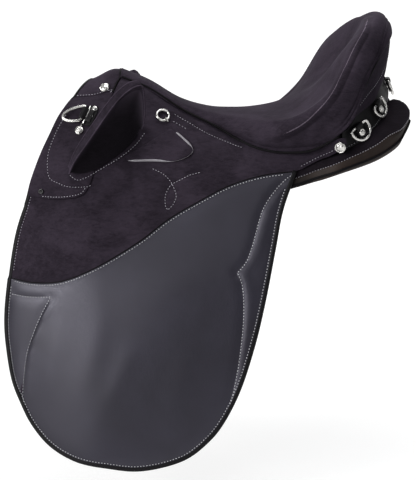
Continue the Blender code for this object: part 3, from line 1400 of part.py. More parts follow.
make_tree()
make_gullet_plate()
make_seat_cover()
make_seat_foam()
make_binding()
make_facing()
make_head_cover()
for side_name, side in SIDES:
    make_panel(side_name, side)
    make_yoke(side_name, side)
    make_flap_head(side_name, side)
    make_flap(side_name, side)
    make_sweat_flap(side_name, side)
    make_girth_point("front", GIRTH_POINTS_AT - GIRTH_POINT_SPACING * 500, side_name, side)
    make_girth_point("rear", GIRTH_POINTS_AT + GIRTH_POINT_SPACING * 500, side_name, side)
    make_skirt(side_name, side)
    make_knee_pad(side_name, side)
    make_stirrup_bar(side_name, side)
    make_front_dee(side_name, side)
    make_side_ring(side_name, side)
    for number, (angle, height) in enumerate(REAR_DEES, 1):
        make_rear_dee(number, angle, height, side_name, side)
    on_yoke = 4 * GAP + YOKE_LEATHER
    make_side_stud("front_stud_" + side_name, FRONT_STUD_AT, FRONT_STUD, FRONT_STUD_HEIGHT, STEEL, side, on_yoke)
    make_side_stud("dome_rivet_" + side_name, DOME_RIVET_AT, DOME_RIVET, RIVET_HEIGHT, BLACK_METAL, side, on_yoke)
    make_side_stud("rear_stud_" + side_name, REAR_STUD_AT, REAR_STUD, REAR_STUD_HEIGHT, STEEL, side, 5 * GAP)
    make_side_stud("pommel_stud_" + side_name, POMMEL_STUD_AT, POMMEL_STUD, POMMEL_STUD_HEIGHT, STEEL, side, 2 * GAP)
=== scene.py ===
"""Stock saddle: suede seat, knee pads and upper flaps, smooth lower flaps, panels and bright fittings."""
import math

import bpy
import numpy as np
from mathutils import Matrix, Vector
from mathutils.geometry import delaunay_2d_cdt


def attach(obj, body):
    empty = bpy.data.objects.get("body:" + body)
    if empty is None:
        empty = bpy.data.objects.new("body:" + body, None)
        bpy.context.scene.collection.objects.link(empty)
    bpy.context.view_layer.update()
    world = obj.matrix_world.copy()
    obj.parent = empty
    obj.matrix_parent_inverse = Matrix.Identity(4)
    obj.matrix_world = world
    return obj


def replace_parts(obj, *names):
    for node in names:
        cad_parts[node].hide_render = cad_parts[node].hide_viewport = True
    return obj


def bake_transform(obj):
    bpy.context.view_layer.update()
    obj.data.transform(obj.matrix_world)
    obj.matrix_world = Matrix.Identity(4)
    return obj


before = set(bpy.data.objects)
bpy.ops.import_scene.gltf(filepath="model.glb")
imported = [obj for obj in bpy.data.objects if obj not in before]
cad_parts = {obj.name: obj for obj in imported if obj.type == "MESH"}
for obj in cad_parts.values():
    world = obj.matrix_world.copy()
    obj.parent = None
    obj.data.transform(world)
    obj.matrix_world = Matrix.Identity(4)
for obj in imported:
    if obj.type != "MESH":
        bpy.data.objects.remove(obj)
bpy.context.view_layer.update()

MM = 0.001
SIDES = (("near", -1), ("off", 1))

# Sizes that the model gives
GAP = 0.4 * MM
FLAP_LEATHER = 2.6 * MM
PANEL_LEATHER = 1.6 * MM
YOKE_LEATHER = 1.8 * MM
SKIRT_LEATHER = 2.4 * MM
COVER_LEATHER = 2.6 * MM
SWEAT_LEATHER = 2.2 * MM
GIRTH_LEATHER = 3.0 * MM
BINDING_LEATHER = 3.0 * MM
FACING_LEATHER = 3.0 * MM
LAYER_GAP = 0.7 * MM

# The side of the saddle
TOP_LINE = (
    (-330, 118), (-270, 135), (-214, 147), (-180, 161), (-141, 149), (-99, 123), (-69, 109),
    (-38, 102), (0, 100), (38, 102), (76, 112), (120, 128), (160, 150),
)
BEND_HALF_WIDTH, BEND_SPLAY = 0.120, 0.10
BEND_LEVEL, BEND_RISE = 0.0107, 0.1475
FLAP_FLARE, FRONT_CURL, CURL_FROM = 0.24, 2.0, -0.20
ARCH_POWER = 2.5
REAR_LEAN, LEAN_FROM, LEAN_OVER, LEAN_DEPTH = 0.45, -0.02, 0.13, 0.03
REAR_FLARE_FROM, REAR_FLARE = 0.085, 4.0

# Outlines on the side of the saddle, along and up, in millimetres
FLAP_EDGE = (
    (-316, -36), (-326, -64), (-333, -93), (-339, -137), (-344, -200), (-341, -245), (-333, -286),
    (-318, -319), (-302, -345), (-276, -370), (-239, -387), (-195, -394), (-159, -397), (-124, -392),
    (-88, -380), (-60, -360), (-35, -332), (-9, -284), (13, -221), (29, -159), (44, -89), (56, -33),
    (76, 21),
)
FLAP_SEAM = (
    (-340, -141), (-301, -144), (-257, -138), (-206, -115), (-148, -80), (-107, -49), (-61, -22),
    (-18, 0), (28, 14), (76, 20.5),
)
FRONT_EDGE = (
    (-216, 144), (-242, 121), (-262, 97), (-277, 68), (-291, 39), (-305, 3), (-312, -22), (-316, -34),
)
CREASE = (
    (-172, 149.5), (-130, 132), (-83, 102), (-38, 81), (-2, 62), (31, 51), (68, 49), (105, 57), (127, 67),
    (141, 70),
)
HEAD_REAR_EDGE = ((144, 62), (139, 54), (123, 43), (109, 37), (84, 23.5))
HEAD_COVER_FRONT, HEAD_COVER_BACK = (-242, 120.5), (-184, 129)
YOKE_BACK = ((-184, 129), (-190, 95), (-206, 40), (-216, 6), (-222, -7))
YOKE_FOOT = ((-222, -7), (-228, -15), (-241, -20), (-263, -23), (-285, -23), (-308, -21))
SKIRT_CORNERS = (
    (-167, 38.5), (-101, 77.5), (-86, 66), (-70, 50), (-76, 40), (-97, 32.5), (-125, 33.5), (-163, 33),
)
SWEAT_EDGE = (
    (-262, -32), (-276, -90), (-280, -170), (-266, -240), (-232, -292), (-176, -318), (-116, -314),
    (-66, -284), (-32, -228), (-8, -150), (10, -70), (26, 6),
)
# A knee pad's foot, along and up, and its free edge: along, out and up
PAD_BASE = ((-244, 21), (-232, 24), (-212, 32), (-186, 49), (-166, 64), (-152, 78))
PAD_EDGE = (
    (-249, 88, 24), (-240, 102, 46), (-229, 112, 65), (-214, 123, 87), (-198, 137, 110), (-181, 150, 132),
    (-166, 162, 146), (-154, 170, 152), (-147, 168, 149), (-144, 150, 124), (-144, 125, 98), (-146, 98, 84),
)

# Seams that show as rows of stitching, along and up
FRONT_BLOCK_TOP = ((-334, -164), (-309, -165), (-275, -162))
FRONT_BLOCK_BACK = (
    (-275, -162), (-287, -184), (-299, -211), (-310, -243), (-315, -277), (-317, -305), (-314, -319),
)
REAR_BLOCK_UPPER = ((77, 19), (60, 8), (41, -13), (28, -34), (21, -55), (13, -83), (4, -106), (-9, -122))
REAR_BLOCK_LOWER = (
    (-9, -122), (-3, -138), (-1, -166), (-3, -201), (-11, -256), (-23, -304), (-38, -332), (-48, -349),
)
YOKE_STITCH = (
    (-250, 100), (-265, 75), (-277, 47), (-280, 25), (-277, 7), (-265, 0), (-248, -5), (-222, -4),
    (-217, -1),
)
PAD_SEAM = ((-248, 12), (-236, 5), (-221, 10), (-204, 20), (-175, 37), (-153, 54), (-138, 72))
LOOP_A = ((-129, 23), (-113, 15), (-103, 5), (-97, -7), (-95, -17), (-100, -28), (-107, -35))
LOOP_B = ((-60, 18), (-75, 14), (-89, 7), (-102, 0), (-109, -11), (-111, -21), (-110, -31), (-107, -35))
SEAT_SEAM = ((-95, 98), (-72, 85), (-51, 73), (-30, 64), (-9, 56), (1, 53))
SEAT_SEAM_SHORT = ((-98, 88), (-88, 83), (-78, 77))
POMMEL_SEAM_HIGH = ((-230, 116), (-209, 120), (-194, 126), (-181, 132))
HEAD_REAR_STITCH = ((82, 27), (107, 41), (121, 48), (137, 58))
# Soft folds of the lower flap: two ends, height and half width
FLAP_FOLDS = (
    ((-252, -345), (-190, -150), 0.8, 17), ((-292, -330), (-255, -180), 0.9, 12),
    ((-205, -330), (-150, -210), 0.8, 14), ((-120, -370), (-70, -200), 0.8, 18),
)
# A hanging flap's bow: the ends of its slanting crest, its height and half width, and a level bow across it
BOW_CREST = (np.array((-0.113, -0.161)), np.array((-0.206, -0.350)))
BOW_HEIGHT, BOW_HALF_WIDTH = 8 * MM, 0.125
LEVEL_BOW_HEIGHT, LEVEL_BOW_AT, LEVEL_BOW_REACH = 5 * MM, -0.23, 0.17


# Curves and the side of the saddle

def unit(v):
    """Vectors with their length brought to one."""
    v = np.asarray(v, float)
    return v / np.maximum(np.linalg.norm(v, axis=-1, keepdims=True), 1e-12)


def hermite(a, b, da, db, u):
    """A smooth way from a to b that leaves with the slope da and arrives with db."""
    return (
        a * (2 * u ** 3 - 3 * u ** 2 + 1) + da * (u ** 3 - 2 * u ** 2 + u)
        + b * (3 * u ** 2 - 2 * u ** 3) + db * (u ** 3 - u ** 2)
    )


def curve(points, x):
    """Values at x of the smooth curve through the points (x, value)."""
    px, pv = np.asarray(points, float).T
    slope = np.empty_like(pv)
    slope[1:-1] = (pv[2:] - pv[:-2]) / (px[2:] - px[:-2])
    slope[0] = (pv[1] - pv[0]) / (px[1] - px[0])
    slope[-1] = (pv[-1] - pv[-2]) / (px[-1] - px[-2])
    i = np.clip(np.searchsorted(px, x, "right") - 1, 0, len(px) - 2)
    h = px[i + 1] - px[i]
    return hermite(pv[i], pv[i + 1], h * slope[i], h * slope[i + 1], np.clip((x - px[i]) / h, 0, 1))


def ease(t):
    t = np.clip(t, 0, 1)
    return t * t * (3 - 2 * t)


def through(points, steps):
    """Points of a smooth open curve through the given ones."""
    p = np.asarray(points, float)
    p = np.vstack([p[0] * 2 - p[1], p, p[-1] * 2 - p[-2]])
    made = [
        hermite(b, c, (c - a) / 2, (d - b) / 2, k / steps)
        for a, b, c, d in zip(p, p[1:], p[2:], p[3:]) for k in range(steps)]
    return np.array(made + [p[-2]])


def smooth(points_mm, steps=8):
    return through(np.asarray(points_mm, float) * MM, steps)


def distance_along(path):
    """How far along the path each of its points lies."""
    return np.concatenate([[0], np.cumsum(np.linalg.norm(np.diff(path, axis=0), axis=1))])


def evenly(path, spacing, closed=False):
    """The path's points at an even spacing along it."""
    path = np.asarray(path, float)
    if closed:
        path = np.vstack([path, path[:1]])
    step = np.linalg.norm(np.diff(path, axis=0), axis=1)
    path = path[np.concatenate([[True], step > 1e-9])]
    run = distance_along(path)
    count = max(int(round(run[-1] / spacing)), 1)
    at = np.linspace(0, run[-1], count + 1)[:-1 if closed else None]
    return np.stack([np.interp(at, run, path[:, k]) for k in range(path.shape[1])], axis=1)


def directions(path, closed=False):
    """The way along a line at each of its points."""
    return unit(np.roll(path, -1, axis=0) - np.roll(path, 1, axis=0) if closed else np.gradient(path, axis=0))


def offset_path(path, distance, closed=False):
    """The flat path moved to its left by a distance."""
    way = directions(path, closed)
    return path + np.stack([-way[:, 1], way[:, 0]], axis=1) * distance


TOP_POINTS = np.array(TOP_LINE) * MM
TOP_TABLE_X = np.arange(-0.34, 0.17, 0.0005)
TOP_TABLE = curve(TOP_POINTS, TOP_TABLE_X)


def bend_level(x):
    return BEND_LEVEL + BEND_RISE * x


def side_out(x, z):
    """Distance from the centre plane to the outer face of the flap leather."""
    low = bend_level(x)
    out = BEND_HALF_WIDTH + BEND_SPLAY * x + REAR_FLARE * np.maximum(0, x - REAR_FLARE_FROM) ** 2
    curl = FRONT_CURL * np.maximum(0, CURL_FROM - x) ** 2
    hanging = out + FLAP_FLARE * (low - z) - curl
    height = np.interp(x, TOP_TABLE_X, TOP_TABLE) - low
    s = np.clip((z - low) / height, 0, 0.999)
    lean = REAR_LEAN * ease((x - LEAN_FROM) / LEAN_OVER) * np.maximum(z - low, 0) ** 2 / LEAN_DEPTH
    over = (1 - s ** ARCH_POWER) ** (1 / ARCH_POWER)
    arched = out * over * (1 - FLAP_FLARE * height / out * s) - curl * (1 - s) + lean
    return np.where(z < low, hanging, arched)


def side_normal(x, z):
    d = 0.8 * MM
    wx = (side_out(x + d, z) - side_out(x - d, z)) / (2 * d)
    wz = (side_out(x, z + d) - side_out(x, z - d)) / (2 * d)
    return unit(np.stack([-wx, -np.ones_like(wx), -wz], axis=-1))


def on_side(p, lift=0.0):
    """Points on the near side of the saddle from (along, up) pairs, lifted along the normal."""
    p = np.atleast_2d(p)
    x, z = p[:, 0], p[:, 1]
    return np.stack([x, -side_out(x, z), z], axis=1) + side_normal(x, z) * np.reshape(lift, (-1, 1))


def normals_on_side(p):
    p = np.atleast_2d(p)
    return side_normal(p[:, 0], p[:, 1])


def distance_to(path, p, closed=False):
    """Distance of flat points from a line of points."""
    path = np.asarray(path, float)
    a = path if closed else path[:-1]
    b = np.roll(path, -1, axis=0) if closed else path[1:]
    run = b - a
    best = np.full(len(p), np.inf)
    length = np.maximum((run ** 2).sum(1), 1e-18)
    for k in range(0, len(a), 64):
        w = p[:, None, :] - a[None, k:k + 64]
        t = np.clip((w * run[None, k:k + 64]).sum(2) / length[k:k + 64], 0, 1)
        gone = w - t[..., None] * run[None, k:k + 64]
        best = np.minimum(best, np.sqrt((gone ** 2).sum(2)).min(1))
    return best


def inside(path, p):
    """Which flat points lie inside the closed line."""
    a, b = np.asarray(path), np.roll(path, -1, axis=0)
    hit = np.zeros(len(p), bool)
    for (ax, az), (bx, bz) in zip(a, b):
        if az == bz:
            continue
        cross = (az > p[:, 1]) != (bz > p[:, 1])
        hit ^= cross & (p[:, 0] < (bx - ax) * (p[:, 1] - az) / (bz - az) + ax)
    return hit


# Colours and materials

def colour(code):
    """sRGB hex to linear."""
    parts = [int(code[k:k + 2], 16) / 255 for k in (1, 3, 5)]
    return tuple(c / 12.92 if c <= 0.04045 else ((c + 0.055) / 1.055) ** 2.4 for c in parts)


def feed(tree, node, inputs):
    """Sets a node's inputs: a socket is linked, anything else is a value."""
    for key, value in inputs.items():
        socket = node.inputs[key]
        if isinstance(value, bpy.types.NodeSocket):
            tree.links.new(value, socket)
        elif isinstance(value, tuple) and len(value) == 3 and socket.type == "RGBA":
            socket.default_value = (*value, 1)
        else:
            socket.default_value = value


def add(tree, kind, settings, inputs):
    """One node with its settings, input values and links."""
    made = tree.nodes.new("ShaderNode" + kind)
    for key, value in settings.items():
        setattr(made, key, value)
    feed(tree, made, inputs)
    return made


def new_material(name):
    made = bpy.data.materials.new(name)
    made.use_nodes = True
    tree = made.node_tree
    place = add(tree, "TexCoord", {}, {}).outputs["Object"]
    return made, tree, tree.nodes["Principled BSDF"], place


def blend_colours(tree, factor, dark, light):
    return add(tree, "Mix", {"data_type": "RGBA"}, {0: factor, 6: dark, 7: light}).outputs[2]


def remap(tree, value, low, high, to_low=0.0, to_high=1.0):
    return add(tree, "MapRange", {"interpolation_type": "SMOOTHSTEP"}, {
        "Value": value, "From Min": low, "From Max": high, "To Min": to_low, "To Max": to_high}).outputs[0]


def weighed(tree, value, share, rest):
    """A share of one value on top of the rest."""
    return add(tree, "Math", {"operation": "MULTIPLY_ADD"}, {0: value, 1: share, 2: rest}).outputs[0]


def noise(tree, place, scale, detail, roughness=0.5, distortion=0.0):
    return add(tree, "TexNoise", {}, {
        "Vector": place, "Scale": scale, "Detail": detail, "Roughness": roughness,
        "Distortion": distortion}).outputs[0]


def drawn_out(tree, place, scale, turn):
    """Places stretched one way, so that a pattern on them is drawn out."""
    return add(tree, "Mapping", {}, {"Vector": place, "Scale": scale, "Rotation": turn}).outputs[0]


def bump(tree, height, strength, depth_mm, under=None, invert=False):
    inputs = {"Height": height, "Strength": strength, "Distance": depth_mm * MM}
    if under is not None:
        inputs["Normal"] = under
    return add(tree, "Bump", {"invert": invert}, inputs).outputs[0]


def suede_material(name, dark, light, sheen, tint, painted_light_colour=None):
    """Split leather with its nap brushed by hand: broad patches lying another way, and a dull bloom."""
    made, tree, shader, place = new_material(name)
    # Patches where a hand has turned the nap, 60 mm and 18 mm across
    broad = noise(tree, place, 16.0, 3.0, distortion=0.7)
    brushed = noise(tree, drawn_out(tree, place, (0.5, 1.0, 1.0), (0.3, 0.5, 0.2)), 70.0, 4.0, 0.6, 0.5)
    # The nap's own fibres are under a millimetre, drawn 1.2 mm wide so that they show
    nap = noise(tree, place, 850.0, 4.0, 0.7)
    # Tufts laid by a fingertip, 4 mm across and drawn out along the hide
    tufts = noise(tree, drawn_out(tree, place, (0.35, 1.0, 1.0), (0.1, 0.7, 0.4)), 260.0, 4.0, 0.65, 0.8)
    patch = weighed(tree, brushed, 0.2, remap(tree, broad, 0.38, 0.66, 0.05, 0.2))
    shade = weighed(tree, nap, 0.25, weighed(tree, tufts, 0.45, patch))
    hue = blend_colours(tree, remap(tree, shade, 0.28, 0.9), colour(dark), colour(light))
    if painted_light_colour:
        # Painted light: blended towards a lighter colour by a share stored on the mesh's points
        painted_light_share = add(tree, "Attribute", {"attribute_name": "painted_light_share"}, {}).outputs["Fac"]
        hue = blend_colours(tree, painted_light_share, hue, colour(painted_light_colour))
    feed(tree, shader, {
        "Base Color": hue, "Roughness": 0.95, "Specular IOR Level": 0.12, "Sheen Weight": sheen,
        "Sheen Roughness": 0.55, "Sheen Tint": colour(tint),
        "Normal": bump(tree, brushed, 0.5, 0.8, bump(tree, nap, 0.35, 0.3))})
    return made


def grain_material(name, dark, light, rough, grain_mm, depth, coat=0.0, shine=0.5, tint=(1.0, 1.0, 1.0)):
    """Chrome-tanned leather with a fine pressed grain: soft shine that breaks up on the pebbles."""
    made, tree, shader, place = new_material(name)
    # Pebbles of the grain, with finer creases between them
    pebble = add(tree, "TexVoronoi", {"feature": "SMOOTH_F1"}, {
        "Vector": place, "Scale": 1 / (grain_mm * MM), "Smoothness": 0.6, "Randomness": 1.0}).outputs[0]
    crease = noise(tree, place, 0.6 / (grain_mm * MM), 5.0, 0.65)
    # Slow change of tone over the hide, 90 mm across
    cloud = noise(tree, place, 11.0, 3.0, distortion=0.4)
    tone = remap(tree, weighed(tree, crease, 0.3, cloud), 0.42, 0.95)
    feed(tree, shader, {
        "Base Color": blend_colours(tree, tone, colour(dark), colour(light)),
        "Roughness": remap(tree, crease, 0.3, 0.7, rough - 0.06, rough + 0.06),
        "IOR": 1.48, "Specular IOR Level": shine, "Specular Tint": tint, "Coat Weight": coat,
        "Coat Roughness": 0.35,
        "Normal": bump(tree, crease, depth * 0.8, 0.35, bump(tree, pebble, depth, 0.25, invert=True))})
    return made


def metal_material(name, base, rough, scratch):
    """Polished plate over steel: bright, with hairline rubbing and faint clouding where straps touch it."""
    made, tree, shader, place = new_material(name)
    # Hairlines drawn about half a millimetre apart
    hair = noise(tree, drawn_out(tree, place, (1.0, 0.12, 1.0), (0.2, 0.0, 0.6)), 1900.0, 2.0)
    cloud = noise(tree, place, 120.0, 3.0)
    bright = colour(base)
    dulled = tuple(c * 0.82 for c in bright)
    feed(tree, shader, {
        "Base Color": blend_colours(tree, remap(tree, cloud, 0.35, 0.7), dulled, bright),
        "Roughness": remap(tree, cloud, 0.3, 0.75, rough, rough + 0.12), "Metallic": 1.0,
        "Normal": bump(tree, hair, scratch, 0.05)})
    return made


def thread_material(name, dark, light):
    """Bonded nylon thread: two plies whose twist shows as fine slanting light and dark."""
    made, tree, shader, place = new_material(name)
    # A ply every 0.7 mm
    twist = add(tree, "TexWave", {"wave_type": "BANDS", "bands_direction": "DIAGONAL"}, {
        "Vector": place, "Scale": 420.0, "Distortion": 1.5, "Detail": 1.0}).outputs["Fac"]
    feed(tree, shader, {
        "Base Color": blend_colours(tree, twist, colour(dark), colour(light)), "Roughness": 0.6,
        "Sheen Weight": 0.3, "Normal": bump(tree, twist, 0.5, 0.15)})
    return made


def plastic_material(name, dark, light, rough):
    """Moulded nylon with a fine spark-eroded texture: dull, even, slightly lighter on the raised grain."""
    made, tree, shader, place = new_material(name)
    # Spark erosion, 0.8 mm
    texture = noise(tree, place, 1200.0, 3.0, 0.6)
    feed(tree, shader, {
        "Base Color": blend_colours(tree, remap(tree, texture, 0.3, 0.7), colour(dark), colour(light)),
        "Roughness": rough, "Normal": bump(tree, texture, 0.3, 0.15)})
    return made


SUEDE = suede_material("suede", "#1b161d", "#3e3641", 0.10, "#8d8098")
# A darker copy of the suede: painted shade on the knee pads' rear faces. Its last colour is painted light
# near their top edges
PAD_SUEDE_PAINTED_SHADE = suede_material("pad_suede_painted_shade", "#100d11", "#221d24", 0.05, "#7d7288", "#433b46")
# Pale suede: the cords on the knee pads' edges, and painted highlight along the seat roll
PALE_PIPING_AND_HIGHLIGHT_SUEDE = suede_material("pale_suede_piping_and_painted_highlight", "#2b242c", "#544a58", 0.18, "#9d90a8")
# Pale suede: painted highlight along the seat's ridge
RIDGE_HIGHLIGHT_SUEDE = suede_material("suede_painted_highlight_on_ridge", "#4c434d", "#776d7a", 0.15, "#9d90a8")
PANEL_NAP = suede_material("panel_nap_leather", "#120e12", "#241e25", 0.06, "#7d7288")
# Its dye tints even the light it throws back
SMOOTH = grain_material(
    "smooth_flap_leather", "#211f27", "#2b2933", 0.42, 1.1, 0.2, shine=0.6, tint=(0.9, 0.88, 1.0))
BRIDLE = grain_material("bridle_leather", "#0b090b", "#141215", 0.5, 0.9, 0.2, shine=0.22)
# Near black: welts and cords, and painted shade in grooves and along edges
WELT_AND_PAINTED_SHADE = grain_material("welt_leather_and_painted_shade", "#0a080a", "#131114", 0.6, 0.8, 0.05, shine=0.1)
PANEL_HIDE = grain_material("panel_leather", "#120e0d", "#382c27", 0.6, 1.3, 0.25, shine=0.25)
EDGE_PAINT = grain_material("painted_leather_edge", "#0a090b", "#131115", 0.55, 0.7, 0.12, shine=0.2)
# Pale grey: painted glints on the skirt's edge
PAINTED_GLINT = grain_material("painted_glint_on_leather_edge", "#77737a", "#a5a1a7", 0.22, 0.8, 0.04, 0.6)
BLACK_METAL = grain_material("black_enamel", "#060607", "#0c0c0d", 0.16, 0.5, 0.02, 0.4)
THREAD = thread_material("light_grey_thread", "#b4b4b8", "#e4e4e8")
DULL_THREAD = thread_material("grey_thread_on_suede", "#8f8b94", "#c4c0ca")
NICKEL = metal_material("nickel_plate", "#e4e2de", 0.2, 0.25)
STEEL = metal_material("forged_stainless_steel", "#b9b7b2", 0.3, 0.5)
TREE = plastic_material("moulded_tree_nylon", "#161617", "#242426", 0.55)


# Meshes

def piece(name, verts, faces, finish, slot_name, side=-1, smooth_angle=50):
    """A named piece from near-side points. The off side is the same piece mirrored."""
    verts = np.array(verts, float).reshape(-1, 3)
    if side > 0:
        verts = verts * (1, -1, 1)
        faces = [tuple(reversed(f)) for f in faces]
    mesh = bpy.data.meshes.new(name)
    mesh.from_pydata(verts.tolist(), [], [tuple(int(i) for i in f) for f in faces])
    mesh.validate()
    mesh.update()
    made = bpy.data.objects.new(name, mesh)
    bpy.context.scene.collection.objects.link(made)
    mesh.materials.append(finish)
    mesh.shade_smooth()
    mesh.set_sharp_from_angle(angle=math.radians(smooth_angle))
    return made


def sheet_faces(rows, columns, closed=False):
    """Four-sided faces between rows of points. Closed rows join round."""
    faces = []
    for i in range(rows - 1):
        for k in range(columns if closed else columns - 1):
            n = (k + 1) % columns
            faces.append((i * columns + k, i * columns + n, (i + 1) * columns + n, (i + 1) * columns + k))
    return faces


def closed_rows(rows, round_again=False):
    """A skin over equal rings of points, capped at both ends or joined from the last to the first."""
    rows = np.asarray(rows)
    n, m = rows.shape[:2]
    faces = sheet_faces(n, m, closed=True)
    if round_again:
        faces += [((n - 1) * m + k, (n - 1) * m + (k + 1) % m, (k + 1) % m, k) for k in range(m)]
    else:
        faces += [tuple(reversed(range(m))), tuple((n - 1) * m + k for k in range(m))]
    return rows.reshape(-1, 3), faces


def joined(parts):
    """Several (verts, faces) as one."""
    verts, faces = [], []
    for v, f in parts:
        faces += [tuple(len(verts) + i for i in face) for face in f]
        verts += [tuple(p) for p in v]
    return np.array(verts), faces


def grid_normals(points):
    return unit(np.cross(np.gradient(points, axis=0), np.gradient(points, axis=1)))


def counter_clockwise(p, faces):
    """Flat faces, each turned so that it goes round counter-clockwise."""
    turned = []
    for f in faces:
        a, b, c = (p[i] for i in f[:3])
        turn = (b[0] - a[0]) * (c[1] - a[1]) - (c[0] - a[0]) * (b[1] - a[1])
        turned.append(tuple(f) if turn > 0 else tuple(reversed(f)))
    return turned


def two_layers(faces, count):
    """The faces of an upper layer, the same of the lower one, and the rim between them."""
    edges = dict.fromkeys((a, b) for f in faces for a, b in zip(f, f[1:] + f[:1]))
    lower = [tuple(count + i for i in reversed(f)) for f in faces]
    return faces + lower + [(b, a, count + a, count + b) for a, b in edges if (b, a) not in edges]


OUTLINE_STEP, SEAM_STEP, SEAM_MARGIN = 3 * MM, 2.5 * MM, 4.2 * MM
SEAM_DEPTH, SEAM_HALF_WIDTH = 0.55 * MM, 1.1 * MM
VALLEY_DEPTH, VALLEY_HALF_WIDTH = 0.9 * MM, 7 * MM
LEAST_LEATHER = 0.35 * MM
# Where a leather's mesh has rows of points: millimetres beside a seam, and shares of the rounded edge
SEAM_ROWS, EDGE_ROWS = (0, 0.8, -0.8, 2.2, -2.2), (0.15, 0.5, 1)


def leather(name, outline, lift, thick, finish, slot_name, side, seams=(), spacing=6 * MM, edge=1.1 * MM,
            valley=VALLEY_DEPTH, relief=None):
    """A piece of leather cut to an outline on the saddle's side, with a rounded edge and sewn-down seams."""
    outline = evenly(outline, OUTLINE_STEP, closed=True)
    after = np.roll(outline, -1, axis=0)
    if np.sum(outline[:, 0] * after[:, 1] - after[:, 0] * outline[:, 1]) < 0:
        outline = outline[::-1]
    low, high = outline.min(0), outline.max(0)
    xs = np.arange(low[0], high[0], spacing)
    zs = np.arange(low[1], high[1], spacing * 0.87)
    inner = np.array([(x + (j % 2) * spacing / 2, z) for j, z in enumerate(zs) for x in xs])
    inner = inner[inside(outline, inner)]
    inner = inner[distance_to(outline, inner, True) > spacing * 0.6]
    seams = [evenly(s, SEAM_STEP) for s in seams]
    lines = []
    for s in seams:
        inner = inner[distance_to(s, inner) > SEAM_MARGIN]
        lines += [offset_path(s, d * MM) for d in SEAM_ROWS]
    lines += [offset_path(outline, share * edge, closed=True) for share in EDGE_ROWS]
    more = np.vstack(lines)
    more = more[inside(outline, more)]
    more = more[distance_to(outline, more, True) > 0.1 * edge]
    coords = [Vector(p) for p in np.vstack([outline, inner, more])]
    flat, _, faces, *_ = delaunay_2d_cdt(coords, [], [list(range(len(outline)))], 1, 0.05 * MM)
    p = np.array([tuple(v) for v in flat])
    from_edge = np.minimum(distance_to(outline, p, True), edge)
    drop = np.minimum(edge - np.sqrt(np.maximum(edge ** 2 - (edge - from_edge) ** 2, 0)), thick * 0.45)
    top = np.full(len(p), lift + thick) - drop
    low_face = np.full(len(p), lift) + drop
    for s in seams:
        away = distance_to(s, p)
        top -= SEAM_DEPTH * np.exp(-(away / SEAM_HALF_WIDTH) ** 2)
        top -= valley * np.exp(-(away / VALLEY_HALF_WIDTH) ** 2)
    raised = relief(p) if relief else 0
    low_face = low_face + raised
    top = np.maximum(top + raised, low_face + LEAST_LEATHER)
    verts = np.vstack([on_side(p, top), on_side(p, low_face)])
    return piece(name, verts, two_layers(counter_clockwise(p, faces), len(p)), finish, slot_name, side, 60)


# A stitch from end to end: place along it, height and width, as shares of its length and radius
STITCH_SHAPE = (
    (-0.5, -0.5, 0.5), (-0.36, 0.45, 0.95), (0, 0.75, 1.0), (0.36, 0.45, 0.95), (0.5, -0.5, 0.5),
)
STITCH_SIDES, THREAD_FLATTENED = 6, 0.8


def stitches(name, runs, finish, side=-1, pitch=4.2 * MM, length=2.1 * MM, radius=0.5 * MM):
    """Rows of separate stitches. Each run is a line of points with the leather's normals at them."""
    parts = []
    for points, normals in runs:
        run = distance_along(points)
        count = int(run[-1] / pitch)

        def at(values, s):
            return np.array([np.interp(s, run, values[:, c]) for c in range(3)])

        for k in range(count):
            s = (k + 0.5) * run[-1] / count
            middle, normal = at(points, s), at(normals, s)
            way = unit(at(points, s + length / 2) - at(points, s - length / 2))
            normal = unit(normal - way * (normal @ way))
            across = np.cross(normal, way)
            rows = []
            for along_it, up, wide in STITCH_SHAPE:
                ring = middle + way * along_it * length + normal * up * radius
                rows.append([
                    ring + (across * math.cos(a) + normal * math.sin(a) * THREAD_FLATTENED) * wide * radius
                    for a in (2 * math.pi * j / STITCH_SIDES for j in range(STITCH_SIDES))])
            parts.append(closed_rows(rows))
    return piece(name, *joined(parts), finish, "smooth_leather", side, 80)


def tube(points, radius, ups, closed=False, sides=12):
    """Round wire or piping along a line. ups are directions across it, one or one for each point."""
    points = np.asarray(points, float)
    way = directions(points, closed)
    across = unit(np.cross(way, np.broadcast_to(np.asarray(ups, float), points.shape)))
    up = np.cross(across, way)
    radius = np.broadcast_to(np.asarray(radius, float), (len(points),))[:, None, None]
    angle = (2 * np.pi * np.arange(sides) / sides)[None, :, None]
    rows = points[:, None] + up[:, None] * np.cos(angle) * radius + across[:, None] * np.sin(angle) * radius
    return closed_rows(rows, closed)


def cord(name, line, radius, ups, finish=WELT_AND_PAINTED_SHADE, side=-1, slot_name="bridle_leather", smooth_angle=80):
    """A cord, welt or rim along a line of points."""
    return piece(name, *tube(line, radius, ups), finish, slot_name, side, smooth_angle)


# How a piece moves

def ride(made, body="saddle"):
    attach(made, body)
    return made


def bends(made):
    """Bakes the piece's placement into its points; it does not follow the flap."""
    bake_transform(made)
    return made


# Seat

COVER_GAP = COVER_LEATHER + 2 * GAP
LAST_STATION = 13
